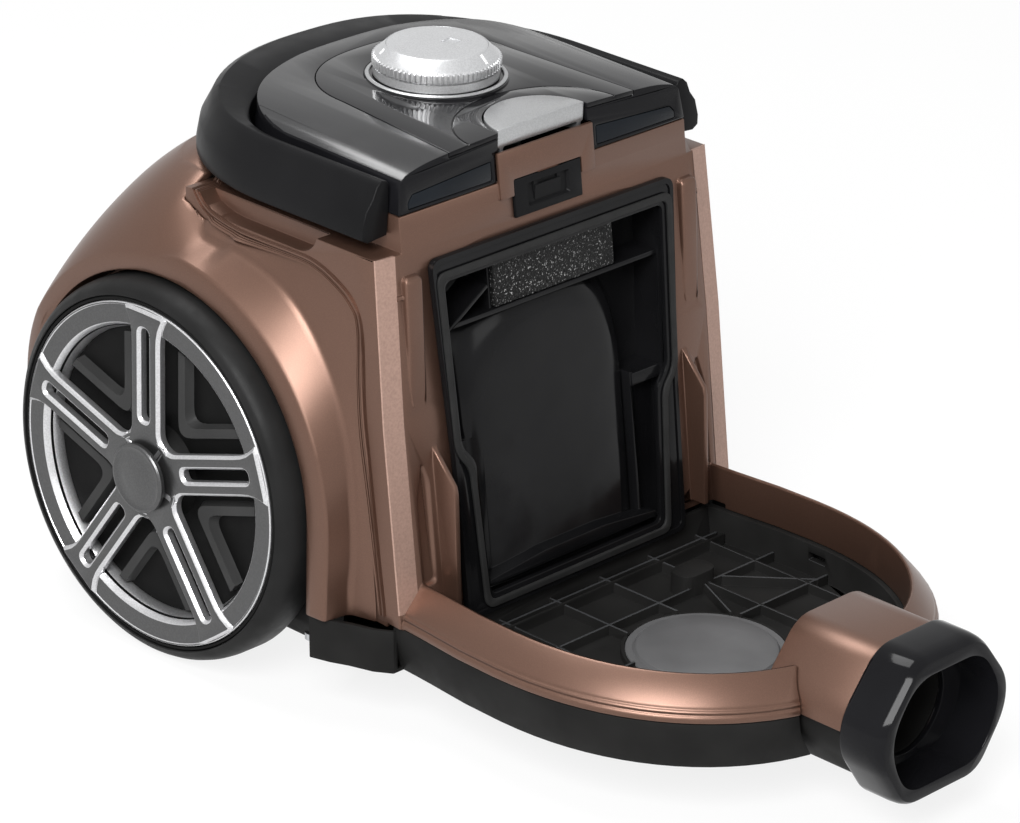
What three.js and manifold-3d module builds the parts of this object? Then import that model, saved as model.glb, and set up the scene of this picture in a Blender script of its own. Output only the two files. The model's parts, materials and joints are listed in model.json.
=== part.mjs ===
// A bagless cylinder vacuum cleaner with its dust bin lifted out.
// Millimetres, +Z up, the hose inlet at the front towards -Y. Left is -X, as seen from the front.
// Shapes are drawn from the wheel axle: Y 0 is the axle and Z 0 the floor. The last lines centre the whole.
import * as THREE from "three";
import { mergeVertices } from "three/addons/utils/BufferGeometryUtils.js";
import Module from "manifold-3d";

const wasm = await Module();
wasm.setup();

// Fits
const SEAM = 0.3; // gap between pieces that lie against each other
const RUN = 0.4; // radial clearance of what turns
const WALL = 2.5; // moulded shell

// Wheels
const BODY_W = 110; // half width between the wheels
const WHEEL_R = 94;
const TRIM_R = WHEEL_R - 9.7;
const TYRE_IN_X = BODY_W + 5;
const TYRE_OUT_X = TYRE_IN_X + 27;
const AXLE_R = 5;
const HUB_R = 12;
const CAP_R = 17;
const SPOKES = 5;
const SPOKE_W = 24;
const RING_R = TRIM_R - 16.3; // inside of the silver ring
const WHEEL_SIDES = 28;
const ARCH_GAP = 2;
const AXLE_SIDES = 20;

// Body
const PILLAR_W = BODY_W + 3; // half width of the front pillars, low down
const BODY_BACK_Y = 8; // seam between front and rear housing
const FACE_Z = 222; // the leaning front face passes here ...
const FACE_Y = -119.6; // ... at this place
const FACE_LEAN = 0.1358; // forward per unit down
const PILLAR_BEND_Y = THREE.MathUtils.lerp(-WHEEL_R, FACE_Y, 0.39); // the sides splay from here to the face
const SHELL_Z = 46.3; // lower edge of the bronze shells
const SHOULDER_Z = 228;
const ROOF_Z = 244.8;
const ROOF_W = BODY_W - 15.3; // the handle lies on the ledge beside it
const FENDER_X = TYRE_IN_X + 15.5; // outer edge of the wheel arches
const DOME_Z = 94; // the skin's radii are measured from here
const DOME_CORNER_X = BODY_W - 35; // the rear dome starts to round off here

// Deck, rim and base
const DECK_Z = 35;
const RIM_Z = 72.8;
const RIM_W = BODY_W - 8; // half width inside the rim
const RIM_MID_Y = -202.4;
const RIM_LONG = 112.4; // from there to the nose, inside the rim
const RIM_POWER = 2.2;
const BASE_Z = 20; // underside below the motor
const NOSE_Z = DECK_Z - 5; // underside below the deck
const RIB_H = 5;
const RIB_T = 1.6;
const RIB_PITCH = 34;

// Window into the machine
const WINDOW = [[-72.5, 209.5], [-67, 124], [-61, 58], [61, 58], [67, 124], [72.5, 209.5]];
const FRAME = [[-80.4, 221.5], [-75, 124], [-74, 48], [74, 48], [75, 124], [80.4, 221.5]];
const FRAME_T = 3;
const BAY_DEPTH = 66;
const MOUTH_INSET = 3.8; // the bay starts this far inside the frame's outer edge
const LINER_WALL = 2;

// Hose inlet
const INLET_Z = 54.5;
const INLET_W = 42.5; // half width of the sleeve
const INLET_H = 34;
const INLET_BACK_Y = RIM_MID_Y - RIM_LONG + 15.8;
const COLLAR_Y = INLET_BACK_Y - 46;
const INLET_FRONT_Y = COLLAR_Y - 25;
const COLLAR_GROW = 2.5;
const PORT_W = 36;
const DUCT_R = 24;

// Controls on top
const CROWN_Z = 268.4; // top of the cover at its front edge
const CROWN_RISE = 0.03;
const COVER_W = ROOF_W - 2.7;
const COVER_FRONT_Y = -115;
const COVER_BACK_Y = 17;
const COVER_SQUARE_Y = -48; // the straight sides end here
const PANEL_W = 61;
const PANEL_BACK_Y = 4;
const KNOB_Y = -45;
const KNOB_R = 30.6;
const KNOB_Z = 287.5;
const BUTTON_W = 28.5;
const BUTTON_L = 27;
const BUTTON_TRAVEL = 4;
const HOOK_Y = FACE_Y - (FACE_Z - 235) * FACE_LEAN; // front of the latch hook
const HOOK_CAM_Z = 247.5; // foot of the slope that the button presses
const HOOK_SLOPE = 0.75; // the hook goes back this much as the button goes down by one
const BUTTON_SPRING = { x: 0, y: HOOK_Y + 24, r: 4.8, z0: 223.5, z1: 251.6 };
const STRIP_IN = 35;
const STRIP_OUT = COVER_W - 4;

// Carry handle
const HANDLE_GAP = 3;
const HANDLE_LOW_Z = ROOF_Z - 10.8;
const HANDLE_TOP_Z = HANDLE_LOW_Z + 28;
const HANDLE_FRONT_Y = -110.5;
const HANDLE_PIN_Y = -104;
const HANDLE_PIN_Z = HANDLE_LOW_Z + 5;
const HANDLE_PIN_R = 3;

// Caster
const CASTER_Y = -228;
const CASTER_R = 13;
const CASTER_W = 18;
const CASTER_TRAIL = 12;
const CASTER_PLATE_R = 27;
const CASTER_STEM_R = 5;
const CASTER_CAP_R = 38;

// Motor, lying along Y
const MOTOR_X = 74 - BODY_W;
const MOTOR_Z = 118;
const FAN_R = 50;
const MOTOR_R = 43;
const BULKHEAD_Y = -42;
const FAN_Y = -34;
const CAN_Y = -6;
const CAN_BACK_Y = 56;
const SHAFT_R = 4;

// Cord reel, its axle along X
const REEL_X = 62;
const REEL_Y = 28;
const REEL_Z = 118;
const REEL_R = 64;
const REEL_W = 46;
const REEL_PIN_R = 6;
const REEL_BRAKE_X = REEL_X + REEL_W / 2 - 1; // the brake rubs on the drum's outer flange
const BRAKE_Y = 64;
const BRAKE_Z = 185;

// Back of the body
const BACK_Y = 120.4;
const GRILLE = { x0: MOTOR_X - 48, x1: MOTOR_X + 34, z0: 66, z1: 138, slots: 8 };
const GLAND_R = 9;
const GLAND_Z = 76;
const PEDAL = { x0: REEL_BRAKE_X - 24, x1: REEL_BRAKE_X + 4, y0: 66, y1: 86 };
const PEDAL_UNDER_Z = 193; // underside of the pad that presses the spring
const PEDAL_SPRING = { x: REEL_BRAKE_X - 15, y: 72, r: 4.5, z0: BRAKE_Z + 1, z1: PEDAL_UNDER_Z };
const SCREW_X = BODY_W - 10;
const SCREWS = [[-SCREW_X, -70], [SCREW_X, -70], [-SCREW_X, 62], [SCREW_X, 62]];
const SCREW_R = 2;
const SCREW_HEAD_R = 4.2;
const SCREW_SIDES = 8;

const bronze = { color: 0x8a6150, roughness: 0.35, metalness: 0.55 };
const black = { color: 0x1b1b1d, roughness: 0.5, metalness: 0 };
const gloss = { color: 0x08080a, roughness: 0.1, metalness: 0 };
const silver = { color: 0xb4b6b9, roughness: 0.3, metalness: 0.7 };
const steel = { color: 0x9a9da1, roughness: 0.35, metalness: 1 };
const rubber = { color: 0x141414, roughness: 0.85, metalness: 0 };
const grey = { color: 0x3a3b3e, roughness: 0.6, metalness: 0 };
const foam = { color: 0x101010, roughness: 1, metalness: 0 };
const green = { color: 0x1d5a38, roughness: 0.6, metalness: 0 };
const paper = { color: 0xe4e2da, roughness: 0.9, metalness: 0 };

// ---- Solids ----

function solid(geometry) {
  const bare = new THREE.BufferGeometry();
  bare.setAttribute("position", geometry.getAttribute("position"));
  if (geometry.index) bare.setIndex(geometry.index);
  const merged = mergeVertices(bare, 1e-4);
  const kept = [];
  for (let i = 0; i < merged.index.count; i += 3) {
    const [a, b, c] = merged.index.array.slice(i, i + 3);
    if (a !== b && b !== c && c !== a) kept.push(a, b, c);
  }
  const make = (corners) =>
    new wasm.Manifold(
      new wasm.Mesh({
        numProp: 3,
        vertProperties: new Float32Array(merged.attributes.position.array),
        triVerts: new Uint32Array(corners),
      }),
    );
  const made = make(kept);
  return made.volume() < 0 ? make(kept.reverse()) : made;
}

const join = (first, ...rest) => rest.reduce((sum, piece) => sum.add(piece), first);
const cut = (first, ...rest) => rest.reduce((left, piece) => left.subtract(piece), first);

function box(x0, x1, y0, y1, z0, z1) {
  const block = new THREE.BoxGeometry(x1 - x0, y1 - y0, z1 - z0);
  return solid(block.translate((x0 + x1) / 2, (y0 + y1) / 2, (z0 + z1) / 2));
}

// Turns a shape drawn along Z so that it lies along another axis.
function lay(geometry, axis) {
  const turn = {
    x: new THREE.Matrix4().set(0, 0, 1, 0, 1, 0, 0, 0, 0, 1, 0, 0, 0, 0, 0, 1),
    y: new THREE.Matrix4().set(1, 0, 0, 0, 0, 0, 1, 0, 0, 1, 0, 0, 0, 0, 0, 1),
    z: new THREE.Matrix4(),
  };
  return geometry.applyMatrix4(turn[axis]);
}

// An outline of [u, v] points between two places along an axis.
// The points are [y, z] along x, [x, z] along y and [x, y] along z.
function slab(outline, axis, from, to) {
  const shape = new THREE.Shape(outline.map(([u, v]) => new THREE.Vector2(u, v)));
  const made = new THREE.ExtrudeGeometry(shape, { depth: to - from, bevelEnabled: false });
  return solid(lay(made.translate(0, 0, from), axis));
}

function disc(radius, axis, from, to, u = 0, v = 0, sides = 32) {
  const ring = Array.from({ length: sides }, (_, i) => {
    const a = (2 * Math.PI * i) / sides;
    return [u + radius * Math.cos(a), v + radius * Math.sin(a)];
  });
  return slab(ring, axis, from, to);
}

// A closed [radius, along] profile turned about an axis through the origin.
function turned(profile, axis, sides = 40) {
  const closed = [...profile, profile[0]].map(([r, h]) => new THREE.Vector2(r, h));
  const made = new THREE.LatheGeometry(closed, sides);
  made.applyMatrix4(new THREE.Matrix4().set(1, 0, 0, 0, 0, 0, 1, 0, 0, 1, 0, 0, 0, 0, 0, 1));
  return solid(lay(made, axis));
}

// A skin over a row of flat rings with equal numbers of points, closed at both ends.
function loft(rings) {
  const count = rings[0].length;
  const positions = rings.flat().flatMap((p) => [p.x, p.y, p.z]);
  const faces = [];
  for (let r = 0; r + 1 < rings.length; r++) {
    for (let i = 0; i < count; i++) {
      const a = r * count + i;
      const b = r * count + ((i + 1) % count);
      faces.push(a, b, a + count, b, b + count, a + count);
    }
  }
  const lid = (ring, start, forward) => {
    const corners = THREE.ShapeUtils.triangulateShape(flatten(ring), []);
    const ordered = corners.some((t) => t.some((c, k) => t[(k + 1) % 3] === (c + 1) % count));
    for (const t of corners) {
      faces.push(...(ordered === forward ? t : [...t].reverse()).map((c) => start + c));
    }
  };
  lid(rings[0], 0, false);
  lid(rings.at(-1), (rings.length - 1) * count, true);
  const made = new THREE.BufferGeometry();
  made.setAttribute("position", new THREE.Float32BufferAttribute(positions, 3));
  made.setIndex(faces);
  return solid(made);
}

// A ring's points in its own plane.
function flatten(ring) {
  const normal = new THREE.Vector3();
  ring.forEach((p, i) => normal.add(new THREE.Vector3().crossVectors(p, ring[(i + 1) % ring.length])));
  normal.normalize();
  const u = new THREE.Vector3(Math.abs(normal.x) < 0.9 ? 1 : 0, Math.abs(normal.x) < 0.9 ? 0 : 1, 0);
  u.cross(normal).normalize();
  const v = new THREE.Vector3().crossVectors(normal, u);
  return ring.map((p) => new THREE.Vector2(p.dot(u), p.dot(v)));
}

// Mirrors a left-hand outline to the right and closes it.
const bothSides = (points) => [...points, ...points.map(([u, v]) => [-u, v]).reverse()];

const ringAt = (outline, z) => outline.map(([x, y]) => new THREE.Vector3(x, y, z));

// ---- Body outlines ----

const faceY = (z) => FACE_Y - (FACE_Z - z) * FACE_LEAN;

// An outline in [x, z] with depths measured back from the leaning face.
function leaned(outline, from, to) {
  const shape = new THREE.Shape(outline.map(([u, v]) => new THREE.Vector2(u, v)));
  const made = new THREE.ExtrudeGeometry(shape, { depth: to - from, bevelEnabled: false });
  lay(made.translate(0, 0, from), "y");
  const lean = new THREE.Matrix4().set(1, 0, 0, 0, 0, 1, FACE_LEAN, faceY(0), 0, 0, 1, 0, 0, 0, 0, 1);
  return solid(made.applyMatrix4(lean));
}

// Moves an outline outwards by the same amount all along.
function grown(outline, by) {
  const n = outline.length;
  const turn = Math.sign(THREE.ShapeUtils.area(outline.map(([x, y]) => new THREE.Vector2(x, y))));
  return outline.map(([x, y], i) => {
    const [px, py] = outline[(i + n - 1) % n];
    const [qx, qy] = outline[(i + 1) % n];
    const a = new THREE.Vector2(y - py, px - x).normalize();
    const b = new THREE.Vector2(qy - y, x - qx).normalize();
    const miter = a.clone().add(b);
    miter.multiplyScalar((2 * by * turn) / miter.lengthSq());
    return [x + miter.x, y + miter.y];
  });
}

// Half of a U seen from above, front left to back middle: a straight side that runs into a superellipse.
function bow(width, frontY, squareY, backY, power, steps = 9) {
  const points = [[-width, frontY]];
  for (let i = 0; i < steps; i++) {
    const a = (Math.PI / 2) * (i / (steps - 1));
    points.push([
      -width * Math.cos(a) ** (2 / power),
      squareY + (backY - squareY) * Math.sin(a) ** (2 / power),
    ]);
  }
  return points;
}

function wholeBow(...sizes) {
  const left = bow(...sizes);
  const middle = left.pop();
  return [...left, middle, ...left.toReversed().map(([x, y]) => [-x, y])];
}

// The rounded nose of the deck, from the left pillar to the right one, moved out by t.
function noseCurve(t, steps = 7) {
  const points = [[-RIM_W + 4.6, -134], [-RIM_W + 3.2, -155], [-RIM_W + 0.6, -180]];
  for (let i = 0; i < steps; i++) {
    const a = (Math.PI / 2) * (i / (steps - 0.5));
    points.push([
      -RIM_W * Math.cos(a) ** (2 / RIM_POWER),
      RIM_MID_Y - RIM_LONG * Math.sin(a) ** (2 / RIM_POWER),
    ]);
  }
  const curve = bothSides(points);
  return curve.map(([x, y], i) => {
    const [px, py] = curve[Math.max(i - 1, 0)];
    const [qx, qy] = curve[Math.min(i + 1, curve.length - 1)];
    const out = new THREE.Vector2(qy - py, px - qx).normalize();
    return [x + out.x * t, y + out.y * t];
  });
}

// A section of [out, z] points carried round the nose.
function roundNose(section) {
  const sides = section.map(([t, z]) => ringAt(noseCurve(t), z));
  return loft(sides[0].map((_, i) => sides.map((side) => side[i])));
}

// The block between the wheels: face, pillars and shoulders, with the narrower step under the cover.
function frontBlock(inset) {
  const level = (z, width) => {
    const front = faceY(z) + inset;
    const side = BODY_W - inset;
    const pillar = width - inset;
    const left = [[-side, BODY_BACK_Y], [-side, PILLAR_BEND_Y], [-pillar, front + 2], [-pillar + 11, front]];
    return ringAt(bothSides(left), z);
  };
  const low = SHELL_Z - 3 * Math.sign(inset);
  const top = SHOULDER_Z - inset;
  const block = loft([level(low, PILLAR_W), level(150, PILLAR_W), level(top, BODY_W)]);
  const step = (z) => {
    const width = ROOF_W + 5;
    return ringAt(
      [[-width, BODY_BACK_Y], [-width, faceY(z) + inset], [width, faceY(z) + inset], [width, BODY_BACK_Y]], z,
    );
  };
  const plan = slab(coverPlan(inset, ROOF_Z), "z", 190, 260);
  return join(block, loft([step(200), step(ROOF_Z - inset)]).intersect(plan));
}

// Distance of the body's skin from the wheel axle, by angle up from the rear.
function skin(points) {
  const curve = new THREE.SplineCurve(points.map(([a, r]) => new THREE.Vector2(a, r))).getPoints(60);
  return (angle) => {
    const i = Math.max(1, curve.findIndex((p) => p.x >= angle));
    const [p, q] = [curve[i - 1], curve[i]];
    return p.y + ((q.y - p.y) * (angle - p.x)) / (q.x - p.x);
  };
}
const domeSkin = skin([
  [-40, 145], [-23, 125], [-11, 119.5], [0, 118], [24, 119.5], [37, 122], [52, 131], [68, 139], [90, 146],
  [110, 150], [230, 150],
]);
const fenderSkin = skin([
  [-40, 150], [70, 132], [90, 128], [104, 124], [118, 135], [125, 142], [130, 145], [140, 139], [150, 130],
  [168, 123], [185, 127], [200, 141], [230, 160],
]);

// Where the rings of the dome stand, from its edge to the middle: more of them outside than in.
const OUTER_RINGS = [0, 1.5, 6.5, 15.5, 30.5, FENDER_X - DOME_CORNER_X].map((x) => FENDER_X - x);
const INNER_RINGS = [0, 3.5, 18.5, FENDER_X - DOME_CORNER_X].map((x) => FENDER_X - x);
const ARCH_STEP = 61 / 6; // degrees between the points of a ring

// How far a wheel arch is from the middle of the dome, at an angle up from the rear.
function archReach(turn, radius) {
  const lift = WHEEL_R - DOME_Z;
  const round = lift * Math.sin(turn) + Math.sqrt(radius ** 2 - (lift * Math.cos(turn)) ** 2);
  const above = turn > 0 && turn < Math.PI && round * Math.sin(turn) > lift;
  return above ? round : radius / Math.abs(Math.cos(turn));
}

// The bronze skin that rounds off into the wheel arches, as a solid.
function domeBlock(inset) {
  const stations = inset > 0 ? INNER_RINGS : OUTER_RINGS;
  const ring = (x) => {
    const points = [];
    for (let angle = -32; angle <= 212; angle += ARCH_STEP) {
      const turn = THREE.MathUtils.degToRad(angle);
      const front = THREE.MathUtils.smoothstep(angle, 84, 96);
      const skinR = THREE.MathUtils.lerp(domeSkin(angle), fenderSkin(angle), front);
      const corner = THREE.MathUtils.lerp(DOME_CORNER_X, BODY_W, front);
      const edge = archReach(turn, WHEEL_R + ARCH_GAP + 3);
      const along = THREE.MathUtils.clamp((Math.abs(x) - corner) / (FENDER_X - corner), 0, 1);
      const radius = edge + (skinR - edge) * Math.sqrt(1 - along ** 2) - inset;
      points.push(new THREE.Vector3(
        x - Math.sign(x) * inset, radius * Math.cos(turn), DOME_Z + radius * Math.sin(turn),
      ));
    }
    return points;
  };
  return loft([...stations.map((x) => ring(-x)), ...stations.toReversed().map((x) => ring(x))]);
}

// Room for a wheel, on both sides.
function wheelWells(radius, from) {
  const well = (side) => {
    const [a, b] = side < 0 ? [-FENDER_X - 20, -from] : [from, FENDER_X + 20];
    return join(disc(radius, "x", a, b, 0, WHEEL_R, 36), box(a, b, -radius, radius, -10, WHEEL_R));
  };
  return join(well(-1), well(1));
}

// The hose inlet's outer section, and what keeps clear of it.
function inletSection(by, round = 9) {
  const [w, h] = [INLET_W + by, INLET_H + by];
  const corners = [[-w, -8], [-w, 8], [-22, h], [22, h], [w, 8], [w, -8], [25, -h], [-25, -h]];
  return softened(corners, round).map(([x, z]) => [x, INLET_Z + z]);
}

// An outline with rounded corners.
function softened(corners, radius, steps = 2) {
  const at = (i) => new THREE.Vector2(...corners[(i + corners.length) % corners.length]);
  const shape = new THREE.Shape();
  corners.forEach((_, i) => {
    const here = at(i);
    const room = (next) => next.clone().sub(here).setLength(Math.min(
      radius, here.distanceTo(next) / 2.1,
    )).add(here);
    const [a, b] = [room(at(i - 1)), room(at(i + 1))];
    if (i) shape.lineTo(a.x, a.y);
    else shape.moveTo(a.x, a.y);
    shape.quadraticCurveTo(here.x, here.y, b.x, b.y);
  });
  return shape.getPoints(steps).slice(0, -1).map((p) => [p.x, p.y]);
}

// ---- Scene graph ----

const cleaner = new THREE.Group();

function add(name, shape, look, group = cleaner) {
  const { vertProperties, triVerts } = shape.getMesh();
  const geometry = new THREE.BufferGeometry();
  geometry.setAttribute("position", new THREE.BufferAttribute(vertProperties, 3));
  geometry.setIndex(new THREE.BufferAttribute(triVerts, 1));
  geometry.computeVertexNormals();
  const mesh = new THREE.Mesh(geometry, new THREE.MeshStandardMaterial(look));
  mesh.name = name;
  group.add(mesh);
  return mesh;
}

// ---- Base and shells ----

// The span between two distances from the middle plane, on one side of it.
const onSide = (side, near, far) => [side * near, side * far].sort((p, q) => p - q);

const screwHoles = (radius, from, to) =>
  SCREWS.map(([x, y]) => disc(radius, "z", from, to, x, y, SCREW_SIDES));

// The hollow under the body, between the wheels.
function tub() {
  const wellY = -WHEEL_R - ARCH_GAP - 1;
  const ring = (z, inset) => {
    const side = BODY_W - 3 - inset;
    const wing = FENDER_X - 6 - inset;
    const rear = [[40 - BODY_W, 115 - inset], [-side, 84], [-side, wellY]];
    const front = [[-wing, wellY], [-wing + 2, -118], [-PILLAR_W + inset, -138]];
    return ringAt(bothSides([...rear, ...front]), z);
  };
  return cut(
    loft([ring(BASE_Z, 6), ring(32, 1), ring(SHELL_Z - SEAM, 0)]),
    loft([ring(BASE_Z + WALL, 9.5), ring(32, 3.5), ring(SHELL_Z + 5, WALL)]),
  );
}

// What carries an axle bolt.
function axlePost(side) {
  const foot = [[-20, BASE_Z + 1], [-HUB_R, WHEEL_R + 2], [HUB_R, WHEEL_R + 2], [20, BASE_Z + 1]];
  const hub = disc(HUB_R, "x", ...onSide(side, BODY_W - 9, TYRE_IN_X - 1), 0, WHEEL_R, AXLE_SIDES);
  return join(slab(foot, "x", ...onSide(side, BODY_W - 9, BODY_W - 3)), hub);
}

function motorCradle(y, radius) {
  const block = box(MOTOR_X - 40, MOTOR_X + 40, y, y + 4, BASE_Z + 1, MOTOR_Z - 30);
  return cut(block, disc(radius + SEAM, "y", y - 1, y + 5, MOTOR_X, MOTOR_Z, 24));
}

function baseTray() {
  const skirt = roundNose([
    [8.5, NOSE_Z], [13.3, 48], [13.3, 53.8], [10.8, 53.8], [10.8, 48.5],
    [5.5, NOSE_Z + WALL], [0, NOSE_Z + WALL],
  ]);
  const wall = roundNose([[-2.6, DECK_Z - 2], [-2.6, 51.5], [1.6, 51.5], [1.6, DECK_Z - 2]]);
  const floor = slab(noseCurve(0.5), "z", DECK_Z - WALL, DECK_Z);
  const half = BODY_W - 15;
  const backWall = leaned([[-half, DECK_Z - 2], [-half, 51.2], [half, 51.2], [half, DECK_Z - 2]], 0.6, 3.4);
  const inside = slab(grown(noseCurve(-2.6), -0.2), "z", DECK_Z - 2, DECK_Z + RIB_H);
  const deck = join(
    join(...deckRibs()).intersect(inside),
    disc(9, "z", DECK_Z - 1, DECK_Z + 11, 47, -176, 16),
    disc(CASTER_CAP_R + 2, "z", DECK_Z - 1, DECK_Z + 3, 0, CASTER_Y, 24),
  );
  const feet = join(
    motorCradle(-24, FAN_R + 5),
    motorCradle(34, MOTOR_R + 3.5),
    box(REEL_X + REEL_W / 2 + 4.5, REEL_X + REEL_W / 2 + 8, REEL_Y - 16, REEL_Y + 16, BASE_Z + 1, 52),
    box(MOTOR_X - 40, MOTOR_X + 40, 82, 104, BASE_Z + 1, 62),
    box(-PILLAR_W + 8, PILLAR_W - 8, BULKHEAD_Y - 3, BULKHEAD_Y + 6, BASE_Z + 1, SHELL_Z),
    ...screwHoles(6, BASE_Z + 1, SHELL_Z - 1),
  );
  const bores = [-1, 1].map((side) =>
    disc(AXLE_R + 0.1, "x", ...onSide(side, BODY_W - 20, TYRE_IN_X + 10), 0, WHEEL_R, AXLE_SIDES),
  );
  const rooms = [
    disc(CASTER_CAP_R + SEAM, "z", DECK_Z + 0.8, DECK_Z + 9, 0, CASTER_Y, 24),
    disc(CASTER_STEM_R + RUN, "z", 0, DECK_Z + 9, 0, CASTER_Y, 16),
    disc(DUCT_R + 5.4, "y", INLET_BACK_Y - 3, INLET_BACK_Y + 3, 0, INLET_Z, 24),
    slab(inletSection(SEAM), "y", INLET_FRONT_Y, INLET_BACK_Y - SEAM),
    box(-PILLAR_W, PILLAR_W, BULKHEAD_Y - SEAM, BULKHEAD_Y + WALL + SEAM, BASE_Z + 5, SHELL_Z + 5),
    ...screwHoles(SCREW_R + SEAM, BASE_Z - 5, SHELL_Z + 5),
    ...screwHoles(SCREW_HEAD_R + SEAM, BASE_Z - 5, BASE_Z + 4),
  ];
  const tray = join(skirt, wall, floor, backWall, tub(), deck, axlePost(-1), axlePost(1), feet);
  return cut(tray, ...bores, ...rooms);
}

function deckRibs() {
  const ribs = [];
  const [z0, z1] = [DECK_Z - 1, DECK_Z + RIB_H];
  for (let x = -2.5 * RIB_PITCH; x <= 2.5 * RIB_PITCH; x += RIB_PITCH) {
    ribs.push(box(x - RIB_T / 2, x + RIB_T / 2, -300, -140, z0, z1));
  }
  for (let y = -148; y >= -300; y -= RIB_PITCH) {
    ribs.push(box(-RIM_W, RIM_W, y - RIB_T / 2, y + RIB_T / 2, z0, z1));
  }
  return ribs;
}

// A fin that guides the bin down the front.
function fin(side) {
  const wedge = (x) => {
    const [high, low] = [faceY(217.5), faceY(157)];
    const corners = [[high - 10, 217.5], [high + 1, 217.5], [low + 1, 157], [low - 1, 157]];
    return corners.map(([y, z]) => new THREE.Vector3(side * x, y, z));
  };
  const near = 6 - FRAME[0][0];
  return loft([wedge(near), wedge(near + 10.4)]);
}

// The hollow for the fingers under each side of the carry handle.
function scoop(side) {
  const outline = softened([[-76, 219], [-18, 219], [-10, 240], [-84, 240]], 9);
  return slab(outline, "x", ...onSide(side, BODY_W - 9, BODY_W + 9));
}

const handleBore = (side, radius, near, far) =>
  disc(radius, "x", ...onSide(side, near, far), HANDLE_PIN_Y, HANDLE_PIN_Z, 12);

function frontHousing() {
  const back = BODY_BACK_Y + 5;
  const shell = cut(
    frontBlock(0),
    frontBlock(WALL),
    box(-BODY_W + WALL, BODY_W - WALL, -60, back, 30, SHOULDER_Z - WALL),
    box(-ROOF_W + WALL, ROOF_W - WALL, -60, back, 200, ROOF_Z - WALL),
    leaned(grown(FRAME, -3.4), -5, 8),
    box(-PILLAR_W, PILLAR_W, -200, -100, SHELL_Z - 10, 51.6),
  );
  const rim = roundNose([
    [0, 51.8], [0, RIM_Z], [12.5, 60.5], [14, 58.5], [14, 54.3],
    [11.5, 54.3], [11.5, 57], [2.5, 67], [2.5, 51.8],
  ]);
  const body = join(
    shell,
    rim,
    fin(-1),
    fin(1),
    leaned([[-31.5, ROOF_Z - 8], [-31.5, 258.8], [31.5, 258.8], [31.5, ROOF_Z - 8]], -1.5, 0.6),
    leaned([[-27, 219], [-27, BUTTON_SPRING.z0], [27, BUTTON_SPRING.z0], [27, 219]], 1, 34),
    leaned([[-12, 219], [-12, 231.2], [12, 231.2], [12, 219]], 3, 15.5),
    ...[-1, 1].map((side) => box(
      ...onSide(side, BODY_W - 11.5, BODY_W - 0.5), -86, BODY_BACK_Y, 214, SHOULDER_Z - 1,
    )),
    ...[-10, 10].flatMap((x) => [-57, -33].map((y) => disc(2.5, "z", ROOF_Z - 2, 249, x, y, 8))),
    ...SCREWS.slice(0, 2).map(([x, y]) => screwBoss(x, y)),
  );
  return cut(
    body,
    slab(noseCurve(0), "z", 40, 300).intersect(box(14 - BODY_W, BODY_W - 14, -330, faceY(60) + 0.2, 30, 58)),
    box(-PILLAR_W - 2, PILLAR_W + 2, -150, -131, 30, 54.1),
    leaned([[-22.3, 226], [-22.3, 244.5], [22.3, 244.5], [22.3, 226]], -5, 6),
    scoop(-1),
    scoop(1),
    disc(HUB_R + 2, "x", -BODY_W - 5, BODY_W + 5, 0, WHEEL_R, AXLE_SIDES),
    box(-7, 7, HOOK_Y + 4.2, HOOK_Y + 31, ROOF_Z - 5, ROOF_Z + 1),
    ...[-1, 1].map((side) => handleBore(side, HANDLE_PIN_R + 0.1, ROOF_W - 4, ROOF_W + 1)),
    slab(inletSection(SEAM), "y", INLET_FRONT_Y, INLET_BACK_Y + 20),
  );
}

// A boss inside a shell for a screw that comes up through the base.
function screwBoss(x, y) {
  const boss = disc(8, "z", SHELL_Z, 62, x, y, 12);
  return cut(boss, disc(SCREW_R + SEAM, "z", SHELL_Z - 1, 59, x, y, SCREW_SIDES));
}

function rearHousing() {
  const hollow = cut(domeBlock(WALL), wheelWells(WHEEL_R + ARCH_GAP + WALL, BODY_W - WALL));
  const shell = cut(domeBlock(0), hollow, wheelWells(WHEEL_R + ARCH_GAP, BODY_W + SEAM));
  const front = join(
    frontBlock(-SEAM),
    box(-BODY_W - SEAM, BODY_W + SEAM, -200, BODY_BACK_Y + SEAM, 0, 400),
  );
  const below = box(-200, 200, -200, 200, -60, SHELL_Z);
  const above = join(
    box(-200, 200, -60, 200, ROOF_Z - 1.5, 400),
    cut(box(-200, 200, -60, 200, HANDLE_LOW_Z - 2.5, 400), slab(coverPlan(0.5, ROOF_Z), "z", 200, 410)),
  );
  const bosses = SCREWS.slice(2).map(([x, y]) => screwBoss(x, y));
  const axleRoom = disc(HUB_R + 2, "x", -BODY_W - 5, BODY_W + 5, 0, WHEEL_R, AXLE_SIDES);
  const grille = box(GRILLE.x0 - SEAM, GRILLE.x1 + SEAM, 80, 140, GRILLE.z0 - SEAM, GRILLE.z1 + SEAM);
  const gland = disc(GLAND_R + SEAM, "y", 80, 140, REEL_X, GLAND_Z, 16);
  const pedal = box(PEDAL.x0 - RUN, PEDAL.x1 + RUN, PEDAL.y0 - RUN, PEDAL.y1 + RUN, 150, 260);
  const body = cut(shell, front, below, above, axleRoom, grille, gland, pedal);
  return join(body, ...bosses);
}

// ---- Bay and window ----

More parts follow.
